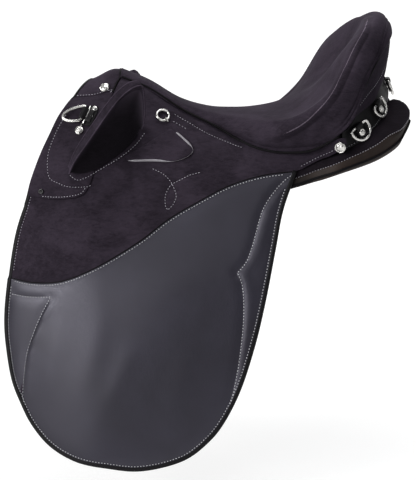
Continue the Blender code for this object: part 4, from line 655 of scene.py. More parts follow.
# From the seat's front round to the middle of the cantle: centre, crest and lower edge.
# Where an edge has None it lies on the side of the saddle.
SEAT_STATIONS = (
    ((-172, 160), (-172, 15, 158), (-172, None, 149.5)),
    ((-130, 142.5), (-130, 30, 139.5), (-130, None, 132)),
    ((-85, 116), (-85, 38, 112), (-83, None, 102)),
    ((-40, 102.5), (-40, 56, 98), (-38, None, 81)),
    ((0, 100), (0, 76, 92), (-2, None, 62)),
    ((30, 101.5), (34, 98, 89), (31, None, 51)),
    ((55, 106), (65, 116, 92), (68, None, 49)),
    ((75, 112), (95, 131, 105), (105, None, 57)),
    ((95, 120), (126, 143, 134), (147, 154, 89)),
    ((115, 131), (155, 124, 189), (171, 136, 143)),
    ((130, 142), (176, 102, 214), (192, 114, 177)),
    ((145, 155), (197, 66, 233), (215, 75, 203)),
    ((152, 162), (208, 28, 241), (229, 31, 213)),
    ((155, 165), (211, 0, 243), (233, 0, 216)),
)
CANTLE_CENTRE, FACING_REACH, FACING_HALF_WIDTH = 0.060, 0.160, 0.157
FACING_SWEEP, FACING_LEAN, LEAN_ENDS, LEAN_FADES = 60, 0.012, 48, 12
BINDING_SEAM, BINDING_LAP = 2.8 * MM, 2.0 * MM
# Lower edges of the binding and the facing: degrees round from the middle of the cantle, and height
BINDING_FOOT = ((0, 158), (11, 155), (26, 139), (36, 120), (51, 102), (61, 79), (66, 68))
FACING_FOOT = ((0, 131), (10, 126), (28, 97), (38, 81), (45, 71), (56, 53), (66, 42))


def station(t):
    """Centre, crest and lower edge of the seat at a station, on the near side."""
    def at(k):
        flipped = k > LAST_STATION
        (cx, cz), (rx, ry, rz), (ex, ey, ez) = SEAT_STATIONS[LAST_STATION * 2 - k if flipped else k]
        turn = 1 if flipped else -1
        if ey is None:
            edge = on_side((ex * MM, ez * MM), COVER_GAP)[0]
        else:
            edge = np.array((ex, turn * ey, ez)) * MM
        return np.array((cx, 0, cz)) * MM, np.array((rx, turn * ry, rz)) * MM, edge

    i = min(int(t), LAST_STATION - 1)
    found = []
    for k in range(3):
        a, b, after = at(i)[k], at(i + 1)[k], at(i + 2)[k]
        before = at(i - 1)[k] if i else a * 2 - b
        found.append(hermite(a, b, (b - before) / 2, (after - a) / 2, t - i))
    return found


def seat_section(t, dish=14, roll=14):
    """Points from the centre line over the crest to the lower edge."""
    centre, crest, edge = station(t)
    ahead, behind = station(min(t + 0.2, LAST_STATION))[0], station(max(t - 0.2, 0))[0]
    climb = (ahead[2] - behind[2]) / (ahead[0] - behind[0])
    level_way = np.array((crest[0] - centre[0], crest[1] - centre[1], 0))
    start = level_way + np.array((0, 0, climb * level_way[0]))
    rounding = 1 - ease((t - 5) / 2)
    end = level_way + np.array((0, 0, 2 * rounding * (crest[2] - centre[2])))
    row = [hermite(centre, crest, start, end, k / dish) for k in range(dish)]
    drop = crest[2] - edge[2]
    over = unit(end) * max(np.linalg.norm((edge - crest)[:2]), drop / 2) * 1.5
    down = np.array((0, 0, -drop * 1.5))
    front = 1 - ease((t - 2) / 2)
    if front:
        # In front the roll lies down on the side of the saddle
        chord = np.linalg.norm(edge - crest)
        step = 2 * MM
        run = unit((0, side_out(edge[0], edge[2]) - side_out(edge[0], edge[2] - step), -step))
        over = over + (unit(end) * chord - over) * front
        down = down + (run * chord - down) * front
    return row + [hermite(crest, edge, over, down, k / roll) for k in range(roll + 1)]


def seat_edge(t):
    """Point and outward normal of the seat's lower edge at a station."""
    before, here, after = (seat_section(v) for v in (max(t - 0.02, 0), t, min(t + 0.02, LAST_STATION)))
    out = unit(np.cross(after[-1] - before[-1], here[-1] - here[-2]))
    return here[-1], -out if out[1] > 0 else out


def welded(verts, faces, tolerance=1e-5):
    """The mesh with vertices at one place merged."""
    verts = np.asarray(verts, float)
    keys, found, index = {}, [], []
    for p in verts:
        key = tuple(np.round(p / tolerance).astype(int))
        if key not in keys:
            keys[key] = len(found)
            found.append(p)
        index.append(keys[key])
    kept = []
    for f in faces:
        g = [index[i] for i in f]
        g = [v for k, v in enumerate(g) if v != g[k - 1]]
        if len(g) > 2:
            kept.append(tuple(g))
    return np.array(found), kept


def thicken(made, thick):
    """Gives a skin the thickness of its leather, inwards."""
    step = made.modifiers.new("leather", "SOLIDIFY")
    step.thickness = thick
    step.offset = -1
    step.use_quality_normals = True


def mirrored(points):
    """What is on the near side continued back along the off side."""
    return np.vstack([points, (points * (1, -1, 1))[-2::-1]])


SEAT_STEP = 8
DISH, ROLL = 30, 44
COLUMNS = DISH + ROLL + 1
# Where the dish is sewn to its roll: seat station, and how far over, 1 at the crest and 2 at the lower edge
RIDGE = (
    (4.2, 1.9), (5.2, 1.7), (5.95, 1.54), (6.65, 1.38), (7.35, 1.22), (7.9, 1.12), (8.35, 1.08), (8.7, 1.1),
    (9.2, 1.08), (10, 1.0), (11, 0.88), (12, 0.78), (13, 0.72),
)
# Two rows of stitching draw the leather in beside the cantle's binding
BINDING_ROWS = (
    (7.2, 1.9), (7.9, 1.81), (8.15, 1.78), (8.6, 1.81), (9.15, 1.84), (9.95, 1.82), (11, 1.58), (12, 1.46),
    (13, 1.38),
)
ROW_APART, ROW_DEPTH, ROW_HALF_WIDTH = 6.5 * MM, 2.0 * MM, 2.3 * MM
ROWS_FROM = 7.5
# Height of the ridge, in millimetres, and where the roll is fullest, at stations of the seat
RIDGE_HEIGHT = ((5, 3.0), (6, 5.0), (7.5, 4.5), (9, 2.6), (11, 2.0), (13, 1.5))
FULLEST = ((0, 1.84), (5.5, 1.82), (6.5, 1.82), (7.2, 1.9), (7.6, 1.96))
RIDGE_CORD_FROM, RIDGE_CORD_THINS = 4.6, 10.6
DISH_SIDE, ROLL_SIDE = 15 * MM, 5 * MM      # how wide the ridge's slopes are
GROOVE_AT, GROOVE_DEPTH, GROOVE_HALF_WIDTH = 7 * MM, 1.6 * MM, 4.5 * MM
TUCK_DEPTH = 4.5 * MM

seat_at = np.linspace(0, LAST_STATION, LAST_STATION * SEAT_STEP + 1)
over_at = np.concatenate([np.arange(DISH) / DISH, 1 + np.arange(ROLL + 1) / ROLL])
ridge_over = curve(np.array(RIDGE), seat_at)
binding_over = curve(np.array(BINDING_ROWS), seat_at)
fullest_over = np.interp(seat_at, *zip(*FULLEST))
seat_points = np.array([seat_section(t, DISH, ROLL) for t in seat_at])
arc = np.array([distance_along(row) for row in seat_points])
seat_up = grid_normals(seat_points)
seat_up *= np.sign(seat_up[len(seat_points) // 3, 2, 2])
seat_up[-1, :, 1] = 0
seat_up[:, 0, 1] = 0


def from_line(line_over):
    """How far past a line over the seat every point lies, along its section."""
    return arc - np.array([[np.interp(c, over_at, a)] for c, a in zip(line_over, arc)])


def seat_relief():
    """How far the leather stands out: the ridge, the sewn rows and the roll drawn in under itself."""
    past = from_line(ridge_over)
    stands = np.interp(seat_at, *zip(*RIDGE_HEIGHT))[:, None] * MM
    made = stands * np.exp(-(past / np.where(past < 0, DISH_SIDE, ROLL_SIDE)) ** 2)
    made -= GROOVE_DEPTH * np.exp(-((past - GROOVE_AT) / GROOVE_HALF_WIDTH) ** 2)
    made *= ease((seat_at - 4.4) / 1.6)[:, None]
    drawn_in = ease((seat_at - 7.4) / 0.4)[:, None]
    past = from_line(binding_over)
    for shift in (0, ROW_APART):
        made -= ROW_DEPTH * drawn_in * np.exp(-((past - shift) / ROW_HALF_WIDTH) ** 2)
    tucked = ease((over_at[None] - fullest_over[:, None]) / 0.09) * (1 - ease((seat_at - 7) / 0.7))[:, None]
    return made - TUCK_DEPTH * tucked


seat_points = seat_points + seat_up * seat_relief()[..., None]
faces = sheet_faces(len(seat_points), COLUMNS)
faces += [tuple(len(seat_points) * COLUMNS + i for i in reversed(f)) for f in faces]
both = np.vstack([seat_points.reshape(-1, 3), (seat_points * (1, -1, 1)).reshape(-1, 3)])
seat = piece("seat_cover", *welded(both, faces), SUEDE, "suede", smooth_angle=80)
seat.data.flip_normals()
thicken(seat, COVER_LEATHER)
ride(seat)
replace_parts(seat, "seat_cover", "seat_foam")


def over_seat(values, lift):
    """Points and normals of a line over the seat: how far over at each station, and how far it stands out."""
    points, ups = (
        np.array([[np.interp(over, over_at, row[:, c]) for c in range(3)] for over, row in zip(values, grid)])
        for grid in (seat_points, seat_up))
    ups = unit(ups)
    return points + ups * lift, ups


# The ridge where the dish of the seat is sewn to its roll, with a thin pale suede cord in the seam: painted
# highlight along the crest
first = int(RIDGE_CORD_FROM * SEAT_STEP)
line, line_up = over_seat(ridge_over, 1.0 * MM)
swells, thins = ease((seat_at - RIDGE_CORD_FROM) / 1.6), 1 - ease((seat_at - RIDGE_CORD_THINS) / 1.8)
thin = (0.1 + 0.9 * swells * thins)[first:]
thin = np.concatenate([thin, thin[-2::-1]])
ride(cord(
    "seat_ridge_cord", mirrored(line[first:]), thin * 1.7 * MM, mirrored(line_up[first:]), RIDGE_HIGHLIGHT_SUEDE,
    slot_name="suede"))
# Near-black cords in the two sewn grooves close to the cantle's binding: painted shade of the grooves
first = int(ROWS_FROM * SEAT_STEP)
for number, shift in ((1, 0.0), (2, ROW_APART)):
    row_over = [np.interp(np.interp(c, over_at, a) + shift, a, over_at) for c, a in zip(binding_over, arc)]
    line, line_up = over_seat(row_over, 0.3 * MM)
    ride(cord(f"binding_seam_{number}", mirrored(line[first:]), 1.1 * MM, mirrored(line_up[first:])))
# A thin pale cord along the roll's fullest line: painted highlight above the roll drawn in under itself
first, last = 2 * SEAT_STEP, int(7.4 * SEAT_STEP)
line, line_up = over_seat(fullest_over - 0.012, -0.3 * MM)
thin = (ease((seat_at - 4.6) / 1.2) * (1 - ease((seat_at - 6.9) / 0.4)) + 0.05)[first:last]
for side_name, side in SIDES:
    ride(cord(
        "roll_highlight_cord_" + side_name, line[first:last], thin * 0.9 * MM, line_up[first:last],
        PALE_PIPING_AND_HIGHLIGHT_SUEDE, side, "suede"))

# The cord in the seam along the seat's lower edge, near black: a welt, and painted shade under the roll
edge_line, edge_up = (np.array(v) for v in zip(*(seat_edge(t) for t in np.linspace(0.02, 7.6, 120))))
for side_name, side in SIDES:
    line = edge_line + edge_up * 0.1 * MM + np.array((0, 0, -1.0)) * MM
    ride(cord("seat_edge_cord_" + side_name, line, 1.7 * MM, edge_up, side=side))


# Round the cantle

def cantle_angle(p):
    return math.degrees(math.atan2(-p[1] / FACING_HALF_WIDTH, (p[0] - CANTLE_CENTRE) / FACING_REACH))


def facing_heights(angle):
    """Heights of the facing's foot and of the binding's lower edge, round from the middle of the cantle."""
    a = float(np.clip(angle, 0, BINDING_FOOT[-1][0]))
    return float(curve(FACING_FOOT, a)) * MM, float(curve(BINDING_FOOT, a)) * MM


def facing_out(angle):
    """The way out of the strip under the cantle."""
    a = math.radians(angle)
    return unit((math.cos(a) / FACING_REACH, -math.sin(a) / FACING_HALF_WIDTH, 0))


def facing_point(angle, up, inset):
    """Point on the strip under the cantle: 0 at its foot, 1 under the binding, inset from its outer face."""
    a = math.radians(angle)
    foot, top = facing_heights(abs(angle))
    lean = FACING_LEAN * (1 - up) * (1 - ease((abs(angle) - LEAN_ENDS) / LEAN_FADES))
    return np.array((
        CANTLE_CENTRE + (FACING_REACH + lean) * math.cos(a), -(FACING_HALF_WIDTH + lean) * math.sin(a),
        foot + (top - foot) * up)) - facing_out(angle) * inset


def toward(p, q, distance):
    """The point moved level towards another, half the way at most."""
    way = (q - p) * (1, 1, 0)
    length = np.linalg.norm(way)
    return p + way / length * min(distance, length / 2) if length > 1e-6 else p.copy()


STITCHED_AT, GROOVED_AT, GROOVE_REACH = 0.60, 0.04, 0.05    # shares of the binding's height
BINDING_CROWN, STITCH_GROOVE, TOP_GROOVE = 1.7 * MM, 0.8 * MM, 0.9 * MM


def binding_crown(v):
    """How far the binding's face stands out, from its top at 0 to its foot at 1."""
    crown = BINDING_CROWN * math.sin(math.pi * v) ** 0.7
    return crown - (
        STITCH_GROOVE * math.exp(-((v - STITCHED_AT) / GROOVE_REACH) ** 2)
        + TOP_GROOVE * math.exp(-((v - GROOVED_AT) / GROOVE_REACH) ** 2))


half, seam_line, stitch_line, binding_up = [], [], [], []
for t in np.linspace(8, LAST_STATION, 61):
    edge_point = station(t)[2]
    angle = cantle_angle(edge_point)
    top = edge_point - np.array((0, 0, BINDING_SEAM))
    low, high = facing_heights(angle)
    lap = 1 - BINDING_LAP / (high - low)
    foot, inner_foot = (facing_point(angle, lap, -2 * GAP - thick) for thick in (BINDING_LEATHER, 0))
    inner_top = toward(top, facing_point(angle, 1, FACING_LEATHER), BINDING_LEATHER)
    out_way = facing_out(angle)
    face = [top + (foot - top) * v + out_way * binding_crown(v) for v in np.arange(13) / 12]
    turned_in = [foot - out_way * 0.8 * MM - np.array((0, 0, 0.9 * MM)), inner_foot]
    half.append(face + turned_in + [(inner_top + inner_foot) / 2, inner_top])
    stitch_line.append(top + (foot - top) * STITCHED_AT + out_way * 0.9 * MM)
    binding_up.append(out_way)
    seam_line.append(edge_point - np.array((0, 0, BINDING_SEAM * 0.5)) + out_way * 0.2 * MM)
rows, seam_line, stitch_line, binding_up = (
    mirrored(np.array(v)) for v in (half, seam_line, stitch_line, binding_up))
made = piece("cantle_binding", *closed_rows(rows), SUEDE, "suede", smooth_angle=60)
made.data.flip_normals()
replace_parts(ride(made), "cantle_binding")
ride(cord("binding_seam_cord", seam_line, 1.5 * MM, binding_up, smooth_angle=50))
ride(stitches("binding_stitching", [(stitch_line, binding_up)], DULL_THREAD))

# Round the facing's section: how far up, and how far in from its outer face
FACING_FACE = (
    (0, 0.9), (0.015, 0.25), (0.06, 0), (0.5, -0.15), (0.94, 0), (1, 0.3), (1, 3.0), (0.5, 3.0), (0, 3.0),
)
rows = [
    [facing_point(angle, up, inset * MM) for up, inset in FACING_FACE]
    for angle in np.linspace(-FACING_SWEEP, FACING_SWEEP, 91)]
made = piece("rear_facing", *closed_rows(rows), BRIDLE, "bridle_leather", smooth_angle=50)
made.data.flip_normals()
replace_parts(ride(made), "rear_facing")
sewn = np.linspace(-58, 58, 80)
run = np.array([facing_point(a, 0.1, -0.1 * MM) for a in sewn]), np.array([facing_out(a) for a in sewn])
ride(stitches("facing_stitching", [run], DULL_THREAD))


# Panels

# Place along, out and up of each section's middle, half width, height above and below it, and tilt
PANEL_SECTIONS = (
    (-268, 64, -36, 14, 5, 5, 66), (-255, 63, -30, 33, 10, 11, 66), (-220, 62, -15, 43, 12, 14, 62),
    (-160, 64, -7, 44, 10, 15, 56), (-80, 68, 1, 46, 11, 16, 46), (0, 71, 9, 50, 15, 12, 34),
    (80, 82, 20, 58, 19, 10, 18), (140, 86, 34, 63, 24, 13, 8), (190, 80, 50, 57, 34, 15, 8),
    (225, 70, 68, 45, 50, 17, 11), (238, 66, 79, 34, 44, 15, 12), (248, 62, 89, 22, 24, 12, 12),
    (253, 60, 96, 9, 8, 5, 12),
)
BAR_FOOT_RECESS, BAR_THICKNESS, PANEL_CLEARANCE, PANEL_FALL, PANEL_POWER = 0.0078, 0.008, 0.0012, 8.0, 2.6
REAR_FOOT_LIFT = 0.022


def panel_ceiling(x, y):
    """The highest a panel may reach: under the tree's bar, and behind it under the facing."""
    if x < 0.105:
        under_bar = BEND_HALF_WIDTH + BEND_SPLAY * x - BAR_FOOT_RECESS - BAR_THICKNESS - PANEL_CLEARANCE
        if abs(y) <= under_bar:
            return 1
        return bend_level(x) - 0.002 + REAR_FOOT_LIFT * ease(x / 0.1) - PANEL_CLEARANCE
    foot = facing_heights(cantle_angle((x, -abs(y))))[0]
    reach = math.hypot((x - CANTLE_CENTRE) / FACING_REACH, y / FACING_HALF_WIDTH) * FACING_REACH
    return foot - PANEL_CLEARANCE - PANEL_FALL * max(0, reach - FACING_REACH - FACING_LEAN) ** 2


def panel_limit(x, z):
    """How far out a panel may reach inside the flap and, in front, inside the under flap too."""
    under_leathers = SWEAT_LEATHER + GIRTH_LEATHER + 2 * LAYER_GAP
    inset = FLAP_LEATHER + PANEL_CLEARANCE + under_leathers * (1 - ease((x - 0.045) / 0.03))
    return float(side_out(x, z)) - inset + 0.02 * ease((x - 0.10) / 0.05)


PANEL_SIDES = 48


def panel_ring(x, out, up, half_width, above, below, tilt):
    """A panel's section: a rounded block, tilted, held under the saddle and inside the flap."""
    a = math.radians(tilt)
    ring = []
    for b in 2 * math.pi * np.arange(PANEL_SIDES) / PANEL_SIDES:
        u, v = (math.copysign(abs(w) ** (2 / PANEL_POWER), w) for w in (math.cos(b), math.sin(b)))
        wide, thick = half_width * MM * u, (above if v > 0 else below) * MM * v
        y = out * MM + wide * math.cos(a) + thick * math.sin(a)
        z = min(up * MM - wide * math.sin(a) + thick * math.cos(a), panel_ceiling(x * MM, y))
        ring.append((x * MM, -min(y, panel_limit(x * MM, z)), z))
    return ring


rows = np.array([panel_ring(*s) for s in through(PANEL_SECTIONS, 6)])
normals = -grid_normals(np.concatenate([rows[:, -1:], rows, rows[:, :1]], axis=1))[:, 1:-1]
normals *= np.sign(((rows - rows.mean(axis=1, keepdims=True)) * normals).sum(2, keepdims=True) + 1e-12)
SEWN = slice(24, len(rows) - 4)
WELT_SIDE, STITCH_SIDE, NAP_ENDS = 0, 3, 22     # numbered round a section, from its outer side upward
for side_name, side in SIDES:
    made = piece("panel_" + side_name, *closed_rows(rows), PANEL_HIDE, "bridle_leather", side, 70)
    made.data.materials.append(PANEL_NAP)
    for number, face in enumerate(made.data.polygons):
        on_skin = number < PANEL_SIDES * (len(rows) - 1)
        face.material_index = int(on_skin and STITCH_SIDE <= number % PANEL_SIDES < NAP_ENDS)
    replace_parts(ride(made), "panel_" + side_name)
    ups = normals[SEWN, WELT_SIDE]
    ride(cord("panel_welt_" + side_name, rows[SEWN, WELT_SIDE] + ups * 0.3 * MM, 1.9 * MM, ups, side=side))
    ups = normals[SEWN, STITCH_SIDE]
    run = (rows[SEWN, STITCH_SIDE] + ups * 0.1 * MM, ups)
    ride(stitches("panel_stitching_" + side_name, [run], DULL_THREAD, side))


# Pommel

def arch_point(x, spread):
    """Point of the arched head: 0 on the centre line and 1 at its foot."""
    low = bend_level(x)
    height = float(curve(TOP_POINTS, x)) - low
    s = (1 - spread ** ARCH_POWER) ** (1 / ARCH_POWER)
    out = BEND_HALF_WIDTH + BEND_SPLAY * x
    curl = FRONT_CURL * max(0, CURL_FROM - x) ** 2
    y = out * spread * (1 - FLAP_FLARE * height / out * s) - curl * (1 - s)
    return np.array((x, -y, low + height * s))


def arch_spread(x, z):
    s = (z - bend_level(x)) / (float(curve(TOP_POINTS, x)) - bend_level(x))
    return (1 - min(s, 1) ** ARCH_POWER) ** (1 / ARCH_POWER)


def arch_lifted(x, spread, lift):
    d = 2 * MM
    normal = np.cross(
        arch_point(x + d, spread) - arch_point(x - d, spread),
        arch_point(x, max(spread - d, 0)) - arch_point(x, spread + d))
    if spread == 0:
        normal[1] = 0
    return arch_point(x, spread) + unit(normal) * (lift if normal[2] >= 0 else -lift)


HEAD_FRONT, SEAT_FRONT, SEAT_FRONT_LOW = -0.216, -0.172, 0.1495


def head_corner(share):
    """Front and back of the head cover at a share of its width, each as a place along and a spread."""
    (front_x, front_z), (back_x, back_z) = (np.array(p) * MM for p in (HEAD_COVER_FRONT, HEAD_COVER_BACK))
    front_low, back_low = arch_spread(front_x, front_z), arch_spread(back_x, back_z)
    at_seat = SEAT_FRONT - 2 * GAP
    seat_end = arch_spread(at_seat, SEAT_FRONT_LOW) / back_low
    front = HEAD_FRONT + (front_x - HEAD_FRONT) * share ** 1.6
    back = at_seat + (back_x - at_seat) * max(share - seat_end, 0) / (1 - seat_end)
    return front, front_low * share, back, back_low * share


def head_point(share, k, lift):
    """Point of the head cover at a share of its width, from its front at 0 to its back at 1."""
    front, front_spread, back, back_spread = head_corner(share)
    return arch_lifted(front + (back - front) * k, front_spread + (back_spread - front_spread) * k, lift)


HEAD_STEPS = 16
PUFF = 0.7 * MM
head_at = np.arange(HEAD_STEPS + 1) / HEAD_STEPS
head_rows = []
for share in head_at:
    puff = PUFF * math.sin(math.pi * min(1, 0.5 + 0.5 * (1 - share))) ** 0.5
    head_rows.append([head_point(share, v, puff * math.sin(math.pi * v) ** 0.5) for v in head_at])
head_rows = np.array(head_rows)
cover = np.concatenate([(head_rows * (1, -1, 1))[:0:-1], head_rows])
faces = sheet_faces(len(cover), HEAD_STEPS + 1)
made = piece("head_cover", cover.reshape(-1, 3), faces, SUEDE, "suede", smooth_angle=80)
if made.data.polygons[len(cover) * HEAD_STEPS // 2].normal.z < 0:
    made.data.flip_normals()
thicken(made, COVER_LEATHER)
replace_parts(ride(made), "head_cover")
line = cover[:, 0] - np.array((0, 0, 1.0)) * MM
ride(cord("head_front_binding", line, 2.1 * MM, (0, 0, 1), EDGE_PAINT, smooth_angle=50))
# Near black: a welt along the head cover's rear edge, and painted shade along it
ride(cord("head_rear_cord", cover[:, -1], 1.5 * MM, (0, 0, 1), smooth_angle=50))


# Flaps, yokes and skirts

def roll_relief(p, line, right, left, reach=13 * MM, groove=3 * MM):
    """A stuffed roll beside a seam: leather raised to the right of the line and pulled down to its left."""
    line = np.array(line, float) * MM
    line = line[np.argsort(line[:, 1])]
    across_it = p[:, 0] - np.interp(p[:, 1], line[:, 1], line[:, 0])
    fade = ease((p[:, 1] - line[0, 1]) / (18 * MM)) * ease((line[-1, 1] - p[:, 1]) / (18 * MM))
    t = np.clip(across_it / reach, 0, 2.5)
    bulge = right * np.sin(np.pi * np.clip(t, 0, 1)) ** 0.8 * (t < 1)
    hollow = -left * np.exp(-((across_it + groove) / (4 * MM)) ** 2)
    return (bulge + hollow) * fade


def flap_relief(p):
    """A hanging flap bows out across its middle, with soft folds where it has been stored rolled."""
    x, z = p[:, 0], p[:, 1]
    hanging = ease((bend_level(x) - z) / 0.15)
    # The crest of the bow runs slanting down and forward, where the knee and calf press
    way = unit(BOW_CREST[1] - BOW_CREST[0])
    off = (x - BOW_CREST[0][0]) * way[1] - (z - BOW_CREST[0][1]) * way[0]
    made = BOW_HEIGHT * np.clip(1.3 - np.sqrt((off / BOW_HALF_WIDTH) ** 2 + 0.3 ** 2), 0, 1)
    made += LEVEL_BOW_HEIGHT * np.clip(1 - ((z - LEVEL_BOW_AT) / LEVEL_BOW_REACH) ** 2, 0, 1)
    for low, high, height, half_width in FLAP_FOLDS:
        low, high = np.array(low) * MM, np.array(high) * MM
        length, run = np.linalg.norm(high - low), unit(high - low)
        off = p - low
        along_it, across_it = off @ run, off @ np.array((-run[1], run[0]))
        ends = ease(along_it / (length * 0.4)) * ease((length - along_it) / (length * 0.4))
        made += height * MM * np.exp(-(across_it / (half_width * MM)) ** 2) * ends
    return hanging * made


def panel_relief(p):
    front = roll_relief(p, FRONT_BLOCK_BACK, 1.2 * MM, 0.9 * MM, 9 * MM)
    rear = roll_relief(p, REAR_BLOCK_UPPER + REAR_BLOCK_LOWER[1:], 1.3 * MM, 0.7 * MM, 16 * MM)
    return front + rear + flap_relief(p)


def flap_top(path):
    """How far the leathers under the band stand out: the panel lies on the flap under its seam."""
    seam_height = curve(np.array(FLAP_SEAM) * MM, path[:, 0])
    return ease((seam_height - path[:, 1] + 2 * MM) / (4 * MM)) * (GAP + PANEL_LEATHER)


def stitch_runs(lines, lift, relief=flap_relief):
    lines = [evenly(s, 2 * MM) for s in lines]
    return [(on_side(s, lift + relief(s)), normals_on_side(s)) for s in lines]


BAND_WIDTH, BAND_LEATHER, EDGE_TO_STITCH = 4.2 * MM, 0.9 * MM, 5.6 * MM
CREASE_TUCK = 1.2 * MM      # how far the flap's head runs up under the seat's edge


def edge_band(path):
    """A folded band round the flap's edge: over the outer face, round the edge and under the inner one."""
    path = evenly(path, 3 * MM)
    width, thick, under = BAND_WIDTH, BAND_LEATHER, -FLAP_LEATHER
    profile = (
        (width, 0.0, 1), (width * 0.96, thick * 0.75, 1), (width * 0.6, thick, 1),
        (width * 0.15, thick * 0.95, 1), (-0.8 * MM, thick * 0.2, 1), (-1.3 * MM, -0.6 * MM, 1),
        (-1.3 * MM, under + 0.6 * MM, 0), (-0.8 * MM, under - thick * 0.2, 0),
        (width * 0.15, under - thick * 0.95, 0),
        (width * 0.9, under - thick * 0.8, 0), (width, under, 0),
    )
    rows = []
    for inwards, lift, outer in profile:
        at = offset_path(path, inwards)
        rows.append(on_side(at, lift + flap_top(path) * outer + flap_relief(at)))
    return closed_rows(np.array(rows).transpose(1, 0, 2))


def between(path, low, high):
    """The part of the path between two heights."""
    return path[(path[:, 1] > low) & (path[:, 1] < high)]


# Outlines and seams
low_edge = np.array([head_point(1, k / 16, 0)[[0, 2]] for k in range(17)]) - (0, 2 * GAP)
flap_bottom = smooth(FLAP_EDGE)
crease_line = smooth(CREASE, 6)
crease_x = crease_line[:, 0]
crease_line[:, 1] += CREASE_TUCK * ease((crease_x + 0.165) / 0.05) * (1 - ease((crease_x + 0.04) / 0.05))
head_front_line = smooth(FRONT_EDGE, 6)
front_line = between(head_front_line, -0.033, low_edge[0, 1] - 2 * MM)
flap_outline = np.vstack([
    low_edge[::-1], front_line, flap_bottom, smooth(HEAD_REAR_EDGE, 6)[::-1], crease_line[::-1]])

seam_curve = smooth(FLAP_SEAM)
panel_edge = offset_path(flap_bottom, 1.0 * MM)
panel_edge = panel_edge[(panel_edge[:, 1] < -0.146) | (panel_edge[:, 0] > -0.25)][:-2]
panel_outline = np.vstack([seam_curve[1:-1], panel_edge[::-1]])

inner_stitch = offset_path(flap_bottom, EDGE_TO_STITCH)
in_front = inner_stitch[:, 0] < -0.25
above = np.vstack([
    offset_path(front_line, EDGE_TO_STITCH)[4:], inner_stitch[(inner_stitch[:, 1] > -0.136) & in_front]])
PANEL_SEAMS = [
    offset_path(seam_curve, -3.0 * MM)[2:-3], inner_stitch[(inner_stitch[:, 1] < -0.150) | ~in_front][:-4],
    *(smooth(s) for s in (FRONT_BLOCK_TOP, FRONT_BLOCK_BACK, REAR_BLOCK_UPPER, REAR_BLOCK_LOWER))]
HEAD_SEAMS = [smooth(SEAT_SEAM), smooth(LOOP_A), smooth(LOOP_B)]

yoke_back = smooth(((low_edge[-1, 0] / MM, YOKE_BACK[0][1]), *YOKE_BACK[1:]), 6)
yoke_foot = smooth(YOKE_FOOT, 6)
yoke_front = between(head_front_line, yoke_foot[-1, 1] + 3 * MM, low_edge[0, 1] - 3 * MM)
inner_back = between(yoke_back, yoke_foot[0, 1] + 3 * MM, low_edge[-1, 1] - 4 * MM)
yoke_outline = np.vstack([low_edge[::-1], yoke_front, yoke_foot[::-1], inner_back[::-1]])
YOKE_SEAMS = [smooth(YOKE_STITCH), smooth(PAD_SEAM)]

skirt_corners = np.array(SKIRT_CORNERS) * MM
skirt_outline = np.vstack([
    np.linspace(skirt_corners[0], skirt_corners[1], 6), through(skirt_corners[2:], 4)])
# A pale grey cord on the skirt's edge paints its glints: thick along its lower side and up its rear corner,
# thin between
skirt_rim = evenly(np.vstack([(skirt_corners[1] + skirt_corners[2]) / 2, skirt_outline[6:]]), 2 * MM)
run = np.linspace(0, 1, len(skirt_rim))
shine = sum(
    np.minimum(ease((run - begins) / rises), 1 - ease((run - fades) / falls))
    for begins, rises, fades, falls in ((-0.02, 0.06, 0.17, 0.08), (0.48, 0.2, 0.92, 0.1)))
skirt_glint_radius = (0.25 + 1.6 * shine) * MM

sweat = smooth(SWEAT_EDGE)
sweat_top_x = np.linspace(sweat[0, 0], sweat[-1, 0], 12)
sweat_top = np.stack([sweat_top_x, bend_level(sweat_top_x) - 3 * MM], axis=1)
sweat_outline = np.vstack([sweat[sweat[:, 1] < bend_level(sweat[:, 0]) - 6 * MM], sweat_top[::-1]])


def flap(side_name, side):
    """The long flap with its bound edge, and the smooth panel sewn on it."""
    made = leather(
        "flap_" + side_name, flap_outline, -FLAP_LEATHER, FLAP_LEATHER, SUEDE, "suede", side,
        seams=HEAD_SEAMS, spacing=7 * MM, relief=flap_relief)
    bends(made)
    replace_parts(made, "flap_" + side_name, "flap_head_" + side_name)
    made = leather(
        "flap_panel_" + side_name, panel_outline, GAP, PANEL_LEATHER, SMOOTH, "smooth_leather", side,
        seams=PANEL_SEAMS, relief=panel_relief)
    bends(made)
    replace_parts(made, "flap_panel_" + side_name)
    band = edge_band(np.vstack([front_line[2:], flap_bottom]))
    made = piece("flap_edge_band_" + side_name, *band, EDGE_PAINT, "bridle_leather", side, 70)
    bends(made)
    runs = stitch_runs(PANEL_SEAMS, GAP + PANEL_LEATHER - VALLEY_DEPTH, panel_relief)
    made = stitches("flap_panel_stitching_" + side_name, runs, THREAD, side, 4.3 * MM, 1.9 * MM, 0.6 * MM)
    bends(made)
    # A near-black cord along the panel's top edge: its black edge paint, and painted shade over the lit
    # rounded edge
    rim = evenly(seam_curve[1:-1], 3 * MM)
    line = on_side(rim, GAP + 0.6 * PANEL_LEATHER + panel_relief(rim))
    made = cord("flap_panel_rim_" + side_name, line, 0.9 * MM, normals_on_side(rim), side=side)
    bends(made)
    runs = stitch_runs([above], -0.2 * MM) + stitch_runs(HEAD_SEAMS[1:], -VALLEY_DEPTH)
    bends(stitches("flap_stitching_" + side_name, runs, DULL_THREAD, side))
    runs = stitch_runs(HEAD_SEAMS[:1], -VALLEY_DEPTH)
    runs += stitch_runs([smooth(HEAD_REAR_STITCH), smooth(SEAT_SEAM_SHORT)], -0.1 * MM)
    ride(stitches("seat_seam_stitching_" + side_name, runs, DULL_THREAD, side))


